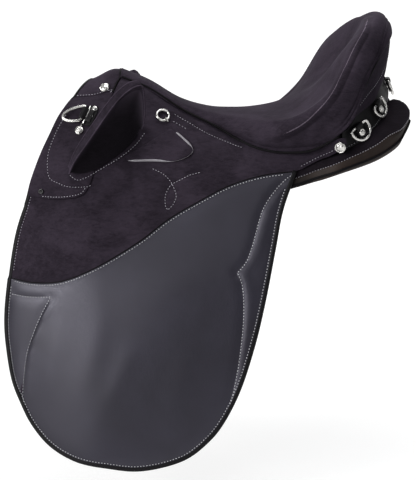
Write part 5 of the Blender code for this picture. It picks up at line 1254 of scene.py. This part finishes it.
def yoke(side_name, side):
    """The front patch over the flap, and the stitching round it and along the head cover."""
    made = leather(
        "yoke_" + side_name, yoke_outline, 2 * GAP, YOKE_LEATHER, SUEDE, "suede", side,
        seams=YOKE_SEAMS, valley=0.4 * MM)
    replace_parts(ride(made), "yoke_" + side_name)
    on_yoke = 2 * GAP + YOKE_LEATHER - 0.6 * MM
    runs = stitch_runs(YOKE_SEAMS, on_yoke)
    runs += stitch_runs([offset_path(yoke_foot[::-1], 3 * MM)[5:]], on_yoke + 0.5 * MM)
    ride(stitches("yoke_stitching_" + side_name, runs, DULL_THREAD, side))
    runs = stitch_runs([low_edge + (0, 3.4 * MM), smooth(POMMEL_SEAM_HIGH)], 0.5 * MM)
    ride(stitches("head_stitching_" + side_name, runs, DULL_THREAD, side))


def skirt(side_name, side):
    """The small flap over the stirrup bar, with a pale cord on its edge as a painted glint."""
    made = leather(
        "skirt_" + side_name, skirt_outline, 2 * GAP, SKIRT_LEATHER, SUEDE, "suede", side,
        spacing=5 * MM, edge=1.2 * MM)
    ride(made, "skirt_" + side_name)
    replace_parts(made, "skirt_" + side_name)
    line = on_side(skirt_rim, 2 * GAP + SKIRT_LEATHER * 0.55)
    made = cord("skirt_painted_glint_" + side_name, line, skirt_glint_radius, normals_on_side(skirt_rim), PAINTED_GLINT, side)
    ride(made, "skirt_" + side_name)


def sweat_flap(side_name, side):
    """The under flap, inside the girth points."""
    inner = -(FLAP_LEATHER + 2 * LAYER_GAP + GIRTH_LEATHER + SWEAT_LEATHER)
    made = leather(
        "sweat_flap_" + side_name, sweat_outline, inner, SWEAT_LEATHER, BRIDLE, "bridle_leather", side,
        spacing=9 * MM)
    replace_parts(ride(made), "sweat_flap_" + side_name)


for side_name, side in SIDES:
    flap(side_name, side)
    yoke(side_name, side)
    skirt(side_name, side)
    sweat_flap(side_name, side)


# Girth points

GIRTH_MIDDLE, GIRTH_APART = -0.070, 0.046
STRAP_LENGTH, STRAP_HALF_WIDTH, STRAP_ABOVE_BEND = 250 * MM, 13 * MM, 9 * MM
HOLE_RADIUS, HOLE_PITCH, FIRST_HOLE, HOLES = 2.75 * MM, 25 * MM, 30 * MM, 6


def strap_surface(p, lift):
    """Points on the flat plane in which the girth points hang, from (along, up) pairs."""
    p = np.atleast_2d(p)
    normal = unit((-BEND_SPLAY - FLAP_FLARE * BEND_RISE, -1, FLAP_FLARE))
    x, z = p[:, 0], p[:, 1]
    out = BEND_HALF_WIDTH + BEND_SPLAY * x + FLAP_FLARE * (bend_level(x) - z)
    return np.stack([x, -out, z], axis=1) + normal * np.reshape(lift, (-1, 1))


def girth_point(x, place, side_name, side):
    """A buckle strap with rounded edges, six holes and a pointed end."""
    top, wide = bend_level(x) + STRAP_ABOVE_BEND, STRAP_HALF_WIDTH
    foot = top - STRAP_LENGTH
    outline = evenly((
        (x - wide, top), (x - wide, foot + wide), (x - wide * 0.6, foot + wide * 0.3), (x, foot),
        (x + wide * 0.6, foot + wide * 0.3), (x + wide, foot + wide), (x + wide, top)), 4 * MM, closed=True)
    round_hole = np.array([(math.cos(a), -math.sin(a)) for a in np.arange(16) * math.pi / 8])
    centres = [np.array((x, foot + FIRST_HOLE + k * HOLE_PITCH)) for k in range(HOLES)]
    holes = [at + HOLE_RADIUS * round_hole for at in centres]

    def from_hole(p, at):
        return np.linalg.norm(p - at, axis=-1)

    def is_leather(face):
        return min(from_hole(p[list(face)].mean(0), at) for at in centres) >= HOLE_RADIUS - 0.15 * MM

    rings = [offset_path(outline, d * MM, closed=True) for d in (0.3, 1.0, 4.0, 9.0)]
    inner = np.vstack(rings + [h + (h - at) * 0.35 for h, at in zip(holes, centres)])
    inner = inner[inside(outline, inner)]
    for at in centres:
        inner = inner[from_hole(inner, at) > HOLE_RADIUS + 0.25 * MM]
    loops, start = [list(range(len(outline)))], len(outline)
    for h in holes:
        loops.append(list(range(start, start + len(h))))
        start += len(h)
    coords = [Vector(c) for c in np.vstack([outline] + holes + [inner])]
    flat, _, faces, *_ = delaunay_2d_cdt(coords, [], loops, 5, 0.02 * MM)
    p = np.array([tuple(v) for v in flat])
    rim = np.minimum(distance_to(outline, p, True), MM)
    for at in centres:
        rim = np.minimum(rim, np.maximum(from_hole(p, at) - HOLE_RADIUS, 0) * 1.5)
    drop = (MM - np.sqrt(np.maximum(MM ** 2 - (MM - rim) ** 2, 0))) * 0.9
    outer = -(FLAP_LEATHER + LAYER_GAP)
    verts = np.vstack([strap_surface(p, outer - drop), strap_surface(p, outer - GIRTH_LEATHER + drop)])
    name = f"girth_point_{place}_{side_name}"
    shell = two_layers(counter_clockwise(p, filter(is_leather, faces)), len(p))
    made = piece(name, verts, shell, BRIDLE, "bridle_leather", side, 60)
    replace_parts(ride(made, name), name)
    inset = evenly(offset_path(outline, 3 * MM, closed=True)[6:-3], 3 * MM)
    normal = strap_surface(inset[:1], 1)[0] - strap_surface(inset[:1], 0)[0]
    runs = [(strap_surface(inset, outer - 0.15 * MM), np.broadcast_to(normal, (len(inset), 3)))]
    ride(stitches(name + "_stitching", runs, DULL_THREAD, side), name)


for side_name, side in SIDES:
    girth_point(GIRTH_MIDDLE - GIRTH_APART, "front", side_name, side)
    girth_point(GIRTH_MIDDLE + GIRTH_APART, "rear", side_name, side)


# Knee pads

PAD_HALF_WIDTH, PAD_HOLLOW = 12 * MM, 6 * MM
# Numbered round a section, from the foot of its front face. Faces past the gusset, on the rear face, take the
# darker suede as painted shade
GUSSET_FACES, PAINTED_LIGHT_FROM, PAINTED_LIGHT_FADES = 31, 28, 10


def pad_lift(x, z):
    """How far the leathers under a pad stand out: the yoke in front, and the flap behind it."""
    back = smooth(YOKE_BACK, 2)
    order = np.argsort(back[:, 1])
    yoke_end = np.interp(z, back[order, 1], back[order, 0])
    return 3 * GAP + YOKE_LEATHER * (1 - ease((x - yoke_end - 4 * MM) / (20 * MM)))


def pad_section(base, i, free):
    """Points round a pad at one place of its foot, and of the cords along its free edge."""
    bx, bz = base[i]
    span = len(base) - 1
    run = unit(base[min(i + 1, span)] - base[max(i - 1, 0)])
    end = math.sin(math.pi * (0.08 + 0.84 * i / span)) ** 0.5
    half_width = PAD_HALF_WIDTH * end
    out_x, out_z = run[1] * half_width, run[0] * half_width
    front, rear, middle = (
        on_side(p, pad_lift(*p))[0] for p in ((bx - out_x, bz + out_z), (bx + out_x, bz - out_z), (bx, bz)))
    rise = free - middle
    up = unit(rise)
    thru = unit(rear - front)
    thru = unit(thru - up * (thru @ up))
    wide = (19 - 9 * ease(2 * i / span)) * MM * end
    hollow = PAD_HOLLOW * end * min(np.linalg.norm(rise) / 0.08, 1)

    def at(v, push, hollowed=1.0):
        return middle + rise * v + thru * (push - hollow * hollowed * math.sin(math.pi * v))

    front_face = [front, at(0.4, -half_width * 0.6, 0.2), at(0.8, -half_width * 0.2, 0.2)]
    front_face.append(at(0.97, -wide * 0.03))
    top_face = [at(v, wide * k) for v, k in ((0.985, 0), (1.0, 0.2), (1.006, 0.5), (1.0, 0.8), (0.985, 1))]
    rear_face = [at(0.97, wide * 1.03), at(0.8, wide), at(0.4, (wide + half_width) / 2), rear]
    ring = np.vstack([through(front_face, 5), through(top_face, 3), through(rear_face, 5), [middle]])
    return ring, at(0.99, -wide * 0.01), at(0.99, wide * 1.01), up


def pad_sections():
    base = smooth(PAD_BASE, 6)
    edge = through(np.array(PAD_EDGE, float) * (MM, -MM, MM), 6)
    made = []
    for i in range(len(base)):
        k = i / (len(base) - 1) * (len(edge) - 1)
        j = min(int(k), len(edge) - 2)
        made.append(pad_section(base, i, edge[j] + (edge[j + 1] - edge[j]) * (k - j)))
    return (np.array(v) for v in zip(*made))


pad_rows, pad_front, pad_rear, pad_up = pad_sections()
for side_name, side in SIDES:
    made = piece("knee_pad_" + side_name, *closed_rows(pad_rows), PAD_SUEDE_PAINTED_SHADE, "suede", side, 50)
    # Painted shade: the rear face keeps the darker suede, and the gusset and top take the plain one
    made.data.materials.append(SUEDE)
    ring = pad_rows.shape[1]
    for number, face in enumerate(made.data.polygons):
        face.material_index = int(number < ring * (len(pad_rows) - 1) and number % ring < GUSSET_FACES)
    # Painted light: full at the pad's top edge, fading out down its rear face
    painted_light_share = made.data.attributes.new("painted_light_share", "FLOAT", "POINT")
    for number in range(len(made.data.vertices)):
        painted_light_share.data[number].value = 1 - float(ease((number % ring - PAINTED_LIGHT_FROM) / PAINTED_LIGHT_FADES))
    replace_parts(ride(made), "knee_pad_" + side_name)
    parts = joined([tube(pad_front, 1.0 * MM, pad_up), tube(pad_rear, 1.0 * MM, pad_up)])
    ride(piece("knee_pad_cords_" + side_name, *parts, PALE_PIPING_AND_HIGHLIGHT_SUEDE, "suede", side, 80))


# Metal fittings

DEE_WIRE = 4.2 * MM
REAR_DEE_WIDTH, REAR_DEE_DEPTH = 36 * MM, 26 * MM
FRONT_DEE_WIDTH, FRONT_DEE_DEPTH, FRONT_DEE_SLANT = 28.5 * MM, 34 * MM, 26
WIRE_CLEARANCE, CLIP_METAL, CLIP_LENGTH, CLIP_WIDTH = 0.4 * MM, 1.3 * MM, 16.5 * MM, 13 * MM
RING_OUTER, RING_WIRE, RING_LIFT = 21.5 * MM, 3.6 * MM, 1.2 * MM
REAR_DEES = ((51.5, 84), (34, 113), (8, 142))       # degrees round from the middle, and height
CLIP_REACH = DEE_WIRE / 2 + WIRE_CLEARANCE + CLIP_METAL
CHAPE_LEATHER, PATCH_LEATHER = 1.5 * MM, 1.6 * MM
REAR_NAIL, REAR_NAIL_HEIGHT, REAR_NAIL_BACK = 10.5 * MM, 2.6 * MM, 5.4 * MM
FRONT_DEE_AT, FRONT_DEE_WAY = (-226, 96.5), (-11, -24)
PATCH_CORNERS = ((4, -15), (4, 11), (12, 12), (16, 8), (17, -14), (13, -18))     # behind the dee, and down
SCREWS = ((11.5, -13.0, 8.5), (10.0, -1.5, 7.5))    # behind the dee, down and diameter
STUD_NECK = ((-228.5, 83.5), (-230, 80.5), (-231.5, 77.5))
ON_YOKE = 3 * GAP + YOKE_LEATHER
# Nail heads: place, diameter, height, what they lie on, rays cut in them and their metal
NAIL_HEADS = (
    ("front_stud", (-233, 74), 13.0, 3.8, ON_YOKE + GAP, 8, NICKEL, "bright_steel"),
    ("rear_stud", (136, 57.5), 16.5, 4.5, 5 * GAP, 4, NICKEL, "bright_steel"),
    ("pommel_stud", (-196, 134.5), 15.0, 4.0, 2 * GAP, 0, NICKEL, "bright_steel"),
    ("dome_rivet", (-289, -13), 8.0, 2.6, ON_YOKE + GAP, 0, BLACK_METAL, "black_metal"),
)


def side_frame(place, lift, direction):
    """Origin and axes on the side of the saddle: along a direction on it, the way across and the normal."""
    at = np.array(place) * MM
    step = np.array(direction) * MM / 20
    way = unit((on_side(at + step) - on_side(at - step))[0])
    normal = normals_on_side(at)[0]
    way = unit(way - normal * (way @ normal))
    return on_side(at, lift)[0], way, np.cross(normal, way), normal


def rear_dee_frame(angle, height):
    """Origin of a rear dee's bar, and its axes: along the bar, down the facing and out of it."""
    low, high = facing_heights(angle)
    up = (height * MM - low) / (high - low)
    middle = facing_point(angle, up, 0)
    bar = unit(facing_point(angle - 2, up, 0) - facing_point(angle + 2, up, 0))
    normal = unit(np.cross(bar, unit(facing_point(angle, 1, 0) - facing_point(angle, 0, 0))))
    if normal @ (middle - (CANTLE_CENTRE, 0, middle[2])) < 0:
        normal = -normal
    down = np.cross(bar, normal)
    if down[2] > 0:
        down = -down
    return middle + normal * (CLIP_REACH + GAP + 0.6 * MM), bar, down, normal


def dee_wire(origin, bar, bow, normal, width, depth):
    """Round wire bent to a straight bar and a round bow."""
    half_width, deep, corner = (width - DEE_WIRE) / 2, depth - DEE_WIRE, DEE_WIRE * 0.9
    path = [(-half_width + corner, 0), (0, 0), (half_width - corner, 0)]
    path.append((half_width - corner * 0.25, corner * 0.3))
    for a in np.linspace(0, math.pi, 25):
        path.append((half_width * math.cos(a), corner + (deep - corner) * math.sin(a) ** 0.9))
    path.append((-half_width + corner * 0.25, corner * 0.3))
    path = evenly(path, 1.6 * MM, closed=True)
    line = origin + path[:, :1] * bar + path[:, 1:] * bow
    return tube(line, DEE_WIRE / 2, normal, closed=True, sides=14)


# A nail head's profile: share of its radius, share of its height, and how deep the rays are cut there
DOME_PROFILE = (
    (1.0, 0.0, 0), (1.0, 0.25, 0), (0.96, 0.48, 0), (0.88, 0.6, 0), (0.8, 0.52, 0), (0.74, 0.5, 0),
    (0.66, 0.66, 0.5), (0.55, 0.84, 1), (0.42, 0.95, 1), (0.28, 1.0, 1), (0.12, 1.02, 0.5), (0.02, 1.03, 0),
)


def dome(at, normal, diameter, height, rays, cut=0.35 * MM):
    """A nail head: a rounded rim, a sunk ring and a domed middle with cut rays."""
    n = unit(normal)
    u = unit(np.cross(n, (0.3, 0.2, 1.0)))
    v = np.cross(n, u)
    rows = []
    for share, up, deep in DOME_PROFILE:
        ring = []
        for a in 2 * math.pi * np.arange(48) / 48:
            h = height * up - cut * deep * (0.5 + 0.5 * math.cos(rays * a)) ** 2
            ring.append(at + (u * math.cos(a) + v * math.sin(a)) * diameter / 2 * share + n * h)
        rows.append(ring)
    return closed_rows(rows)


def chape(origin, bar, loop, normal, width, length):
    """A strip of strap leather folded round the bar and nailed down."""
    thick = CHAPE_LEATHER
    mid = DEE_WIRE / 2 + 0.3 * MM + thick / 2
    line = [(-mid, length), (-mid, 2 * MM)]
    line += [(mid * math.cos(a), -mid * math.sin(a)) for a in np.linspace(math.pi, 0, 13)]
    line += [(mid * 0.85, 1.8 * MM), (mid * 0.2, 4.4 * MM), (-mid + thick * 0.9, 6.6 * MM)]
    line += [(-mid + thick, 8.5 * MM), (-mid + thick, length - 0.3 * MM)]
    line = evenly(line, 0.9 * MM)
    rows = []
    for across_it, share in ((-0.5, 0.55), (-0.46, 1), (-0.2, 1.04), (0.2, 1.04), (0.46, 1), (0.5, 0.55)):
        ring = np.vstack([offset_path(line, thick * share / 2), offset_path(line, -thick * share / 2)[::-1]])
        rows.append(origin + ring[:, :1] * normal + ring[:, 1:] * loop + bar * across_it * width)
    return closed_rows(rows)


def rear_dee(number, angle, height, side_name, side):
    """A dee under the cantle, its chape and the nail through it."""
    origin, bar, down, normal = rear_dee_frame(angle, height)
    name = f"rear_dee_{number}_{side_name}"
    wire = dee_wire(origin, bar, down, normal, REAR_DEE_WIDTH, REAR_DEE_DEPTH)
    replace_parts(ride(piece(name, *wire, NICKEL, "bright_steel", side), name), name)
    made = piece(
        f"rear_dee_chape_{number}_{side_name}", *chape(origin, bar, down, normal, CLIP_WIDTH, CLIP_LENGTH),
        BRIDLE, "bridle_leather", side, 45)
    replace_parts(ride(made), f"rear_dee_clip_{number}_{side_name}")
    at = origin + down * (CLIP_LENGTH - REAR_NAIL_BACK) - normal * 0.8 * MM
    nail = dome(at, normal, REAR_NAIL, REAR_NAIL_HEIGHT, 6)
    ride(piece(f"rear_dee_nail_{number}_{side_name}", *nail, NICKEL, "bright_steel", side))


def front_dee(side_name, side):
    """The dee beside the pommel, its chape on a stiff patch, its pin and screws, and the neck of a stud."""
    lift = ON_YOKE + 0.8 * MM + CLIP_REACH
    origin, bar, loop, normal = side_frame(FRONT_DEE_AT, lift, FRONT_DEE_WAY)
    loop = -loop if loop[0] > 0 else loop
    slant = math.radians(FRONT_DEE_SLANT)
    bow = loop * math.cos(slant) + bar * math.sin(slant)
    wire = dee_wire(origin, bar, bow, normal, FRONT_DEE_WIDTH, FRONT_DEE_DEPTH)
    made = piece("front_dee_" + side_name, *wire, NICKEL, "bright_steel", side)
    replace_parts(ride(made, "front_dee_" + side_name), "front_dee_" + side_name)
    made = piece(
        "front_dee_chape_" + side_name, *chape(origin, bar, -loop, normal, 18.6 * MM, 14 * MM), BRIDLE,
        "bridle_leather", side, 45)
    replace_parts(ride(made), "front_dee_clip_" + side_name)

    along = unit(FRONT_DEE_WAY)
    right = np.array((-along[1], along[0]))

    def on_patch(places):
        return np.array([FRONT_DEE_AT + right * a + along * b for a, b in places]) * MM

    patch = through(on_patch(PATCH_CORNERS + PATCH_CORNERS[:1]), 3)[:-1]
    ride(leather(
        "front_dee_patch_" + side_name, patch, ON_YOKE, PATCH_LEATHER, BRIDLE, "bridle_leather", side,
        spacing=3 * MM, edge=0.6 * MM))
    pin = on_patch([(5.4, b) for b in (13.5, 12.5, -12.5, -13.5)])
    ride(cord(
        "front_dee_pin_" + side_name, on_side(pin, ON_YOKE + 3.4 * MM), np.array((0.7, 1.5, 1.5, 0.7)) * MM,
        normals_on_side(pin), NICKEL, side, "bright_steel", 50))
    screws = []
    for a, b, size in SCREWS:
        foot = on_patch([(a, b)])
        screws.append(dome(
            on_side(foot, ON_YOKE + 1.5 * MM)[0], normals_on_side(foot)[0], size * MM, 2.2 * MM, 2))
    ride(piece("front_dee_screws_" + side_name, *joined(screws), NICKEL, "bright_steel", side))
    neck = np.array(STUD_NECK) * MM
    ride(cord(
        "front_stud_neck_" + side_name, on_side(neck, ON_YOKE + 1.2 * MM), np.array((1.0, 1.2, 2.2)) * MM,
        normals_on_side(neck), NICKEL, side, "bright_steel", 50))


def side_ring(side_name, side):
    """The small ring behind the knee pad."""
    centre, away, over, normal = side_frame((-112, 95), RING_WIRE / 2 + RING_LIFT, (8, -11))
    turns = np.linspace(0, 2 * math.pi, 48, endpoint=False)[:, None]
    line = centre + (away * np.cos(turns) + over * np.sin(turns)) * (RING_OUTER - RING_WIRE) / 2
    wire = tube(line, RING_WIRE / 2, normal, closed=True, sides=14)
    made = piece("side_ring_" + side_name, *wire, NICKEL, "bright_steel", side)
    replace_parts(ride(made, "side_ring_" + side_name), "side_ring_" + side_name)


for side_name, side in SIDES:
    for number, (angle, height) in enumerate(REAR_DEES, 1):
        rear_dee(number, angle, height, side_name, side)
    front_dee(side_name, side)
    side_ring(side_name, side)
    for name, place, diameter, height, lift, rays, finish, slot_name in NAIL_HEADS:
        at, _, _, normal = side_frame(place, lift, (1, 0))
        head = dome(at, normal, diameter * MM, height * MM, rays, 0.5 * MM)
        made = piece(f"{name}_{side_name}", *head, finish, slot_name, side)
        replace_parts(ride(made), f"{name}_{side_name}")


# What keeps the model's own shapes: the tree, its bars and catches, and two small metal pieces

for start, finish in (
        ("tree", TREE), ("gullet_plate", STEEL), ("stirrup_", STEEL), ("ring_staple_", NICKEL)):
    for name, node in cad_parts.items():
        if name.startswith(start):
            node.data.materials.clear()
            node.data.materials.append(finish)


# Studio

FLOOR_LEVEL = -0.46
# Near the saddle the lamps bring the floor's own glow up to white, except in the saddle's shadow
FLOOR_GLOW = 0.84
SHADOW_REACH, SHADOW_FADE = 1.1, 2.0    # metres from the saddle where the floor's own glow rises to white
WHITE = (1.0, 1.0, 1.0)


def paper_material(name):
    """White paper sweep: the camera sees it white, with the saddle's faint shadow on the floor."""
    made, tree, shader, _ = new_material(name)
    feed(tree, shader, {"Base Color": (0.3, 0.3, 0.3), "Roughness": 0.9})
    glow = add(tree, "Emission", {}, {"Color": WHITE, "Strength": 1.0}).outputs[0]
    rays = add(tree, "LightPath", {}, {}).outputs
    # Metal shows the paper as white too
    clear = add(tree, "Math", {"operation": "MAXIMUM"}, {
        0: rays["Is Transmission Ray"], 1: rays["Is Glossy Ray"]})
    mirrored_in = add(tree, "MixShader", {}, {0: clear.outputs[0], 1: shader.outputs[0], 2: glow}).outputs[0]
    spot = add(tree, "NewGeometry", {}, {}).outputs["Position"]
    away = add(tree, "VectorMath", {"operation": "LENGTH"}, {0: spot}).outputs["Value"]
    level = add(tree, "MapRange", {}, {
        "Value": away, "From Min": SHADOW_REACH, "From Max": SHADOW_FADE, "To Min": FLOOR_GLOW,
        "To Max": 1.0})
    soft_glow = add(tree, "Emission", {}, {"Color": WHITE, "Strength": level.outputs[0]}).outputs[0]
    lit = add(tree, "AddShader", {}, {0: shader.outputs[0], 1: soft_glow}).outputs[0]
    mixed = add(tree, "MixShader", {}, {0: rays["Is Camera Ray"], 1: mirrored_in, 2: lit}).outputs[0]
    feed(tree, tree.nodes["Material Output"], {"Surface": mixed})
    return made


def studio_sweep():
    """A seamless sheet of paper: floor below the saddle, bent up behind it."""
    size, away, bend, height, steps = 7.0, 2.6, 1.2, 6.0, 16
    profile = [(-size, FLOOR_LEVEL)]
    for a in np.linspace(0, math.pi / 2, steps):
        profile.append((away + bend * math.sin(a), FLOOR_LEVEL + bend - bend * math.cos(a)))
    profile.append((away + bend, FLOOR_LEVEL + height))
    verts = [(x, y, z) for y, z in profile for x in (-size, size)]
    faces = [(2 * k, 2 * k + 1, 2 * k + 3, 2 * k + 2) for k in range(len(profile) - 1)]
    mesh = bpy.data.meshes.new("studio_sweep")
    mesh.from_pydata(verts, [], faces)
    made = bpy.data.objects.new("studio_sweep", mesh)
    bpy.context.scene.collection.objects.link(made)
    mesh.shade_smooth()
    mesh.materials.append(paper_material("white_paper"))
    return made


def facing_way(made, place, way):
    """Puts a lamp or the camera at a place, looking along a way."""
    made.location = place
    made.rotation_euler = way.to_track_quat("-Z", "Y").to_euler()


def softbox(name, place, aim, size, power):
    lamp = bpy.data.lights.new(name, "AREA")
    lamp.shape = "RECTANGLE"
    lamp.size, lamp.size_y = size
    lamp.energy = power
    made = bpy.data.objects.new(name, lamp)
    bpy.context.scene.collection.objects.link(made)
    facing_way(made, place, Vector(aim) - Vector(place))


def studio_world():
    """Faint cool light from all round. The camera sees white past the sheet of paper too."""
    world = bpy.data.worlds.new("studio")
    bpy.context.scene.world = world
    world.use_nodes = True
    tree = world.node_tree
    faint = tree.nodes["Background"]
    feed(tree, faint, {"Color": (0.9, 0.93, 1.0), "Strength": 0.11})
    white = add(tree, "Background", {}, {"Color": WHITE, "Strength": 1.0})
    seen = add(tree, "LightPath", {}, {}).outputs["Is Camera Ray"]
    mixed = add(tree, "MixShader", {}, {0: seen, 1: faint.outputs[0], 2: white.outputs[0]}).outputs[0]
    feed(tree, tree.nodes["World Output"], {"Surface": mixed})


def studio_camera(target, azimuth, elevation, distance):
    """A camera with a long lens that looks at the target."""
    lens = bpy.data.cameras.new("camera")
    lens.lens = 85
    lens.sensor_fit = "VERTICAL"
    lens.sensor_height = 36
    lens.clip_end = 60
    camera = bpy.data.objects.new("camera", lens)
    bpy.context.scene.collection.objects.link(camera)
    around, up = math.radians(azimuth), math.radians(elevation)
    way = Vector((math.sin(around) * math.cos(up), -math.cos(around) * math.cos(up), math.sin(up)))
    facing_way(camera, target + way * distance, -way)
    bpy.context.scene.camera = camera


studio_sweep()
for name, place, aim, size, power in (
        ("key_softbox", (-2.5, -1.4, 0.9), (0, 0, -0.1), (0.9, 1.0), 42),
        ("flap_softbox", (-1.6, -2.1, 0.45), (-0.15, 0, -0.2), (0.6, 0.6), 13),
        ("front_softbox", (-0.5, -2.6, 1.5), (0, 0, -0.1), (1.2, 0.9), 5),
        ("top_softbox", (-0.2, -0.2, 2.4), (0, 0, 0), (1.6, 1.4), 34),
        ("rim_softbox", (1.9, -1.2, 1.1), (0, 0, 0), (0.9, 1.4), 6),
        ("back_softbox", (0.6, 2.0, 1.6), (0, 0, 0.1), (1.4, 1.0), 14)):
    softbox(name, place, aim, size, power)
studio_world()
studio_camera(Vector((-0.0412, 0, -0.1026)), -4, 11, 1.76)
bpy.context.scene.view_settings.view_transform = "Standard"
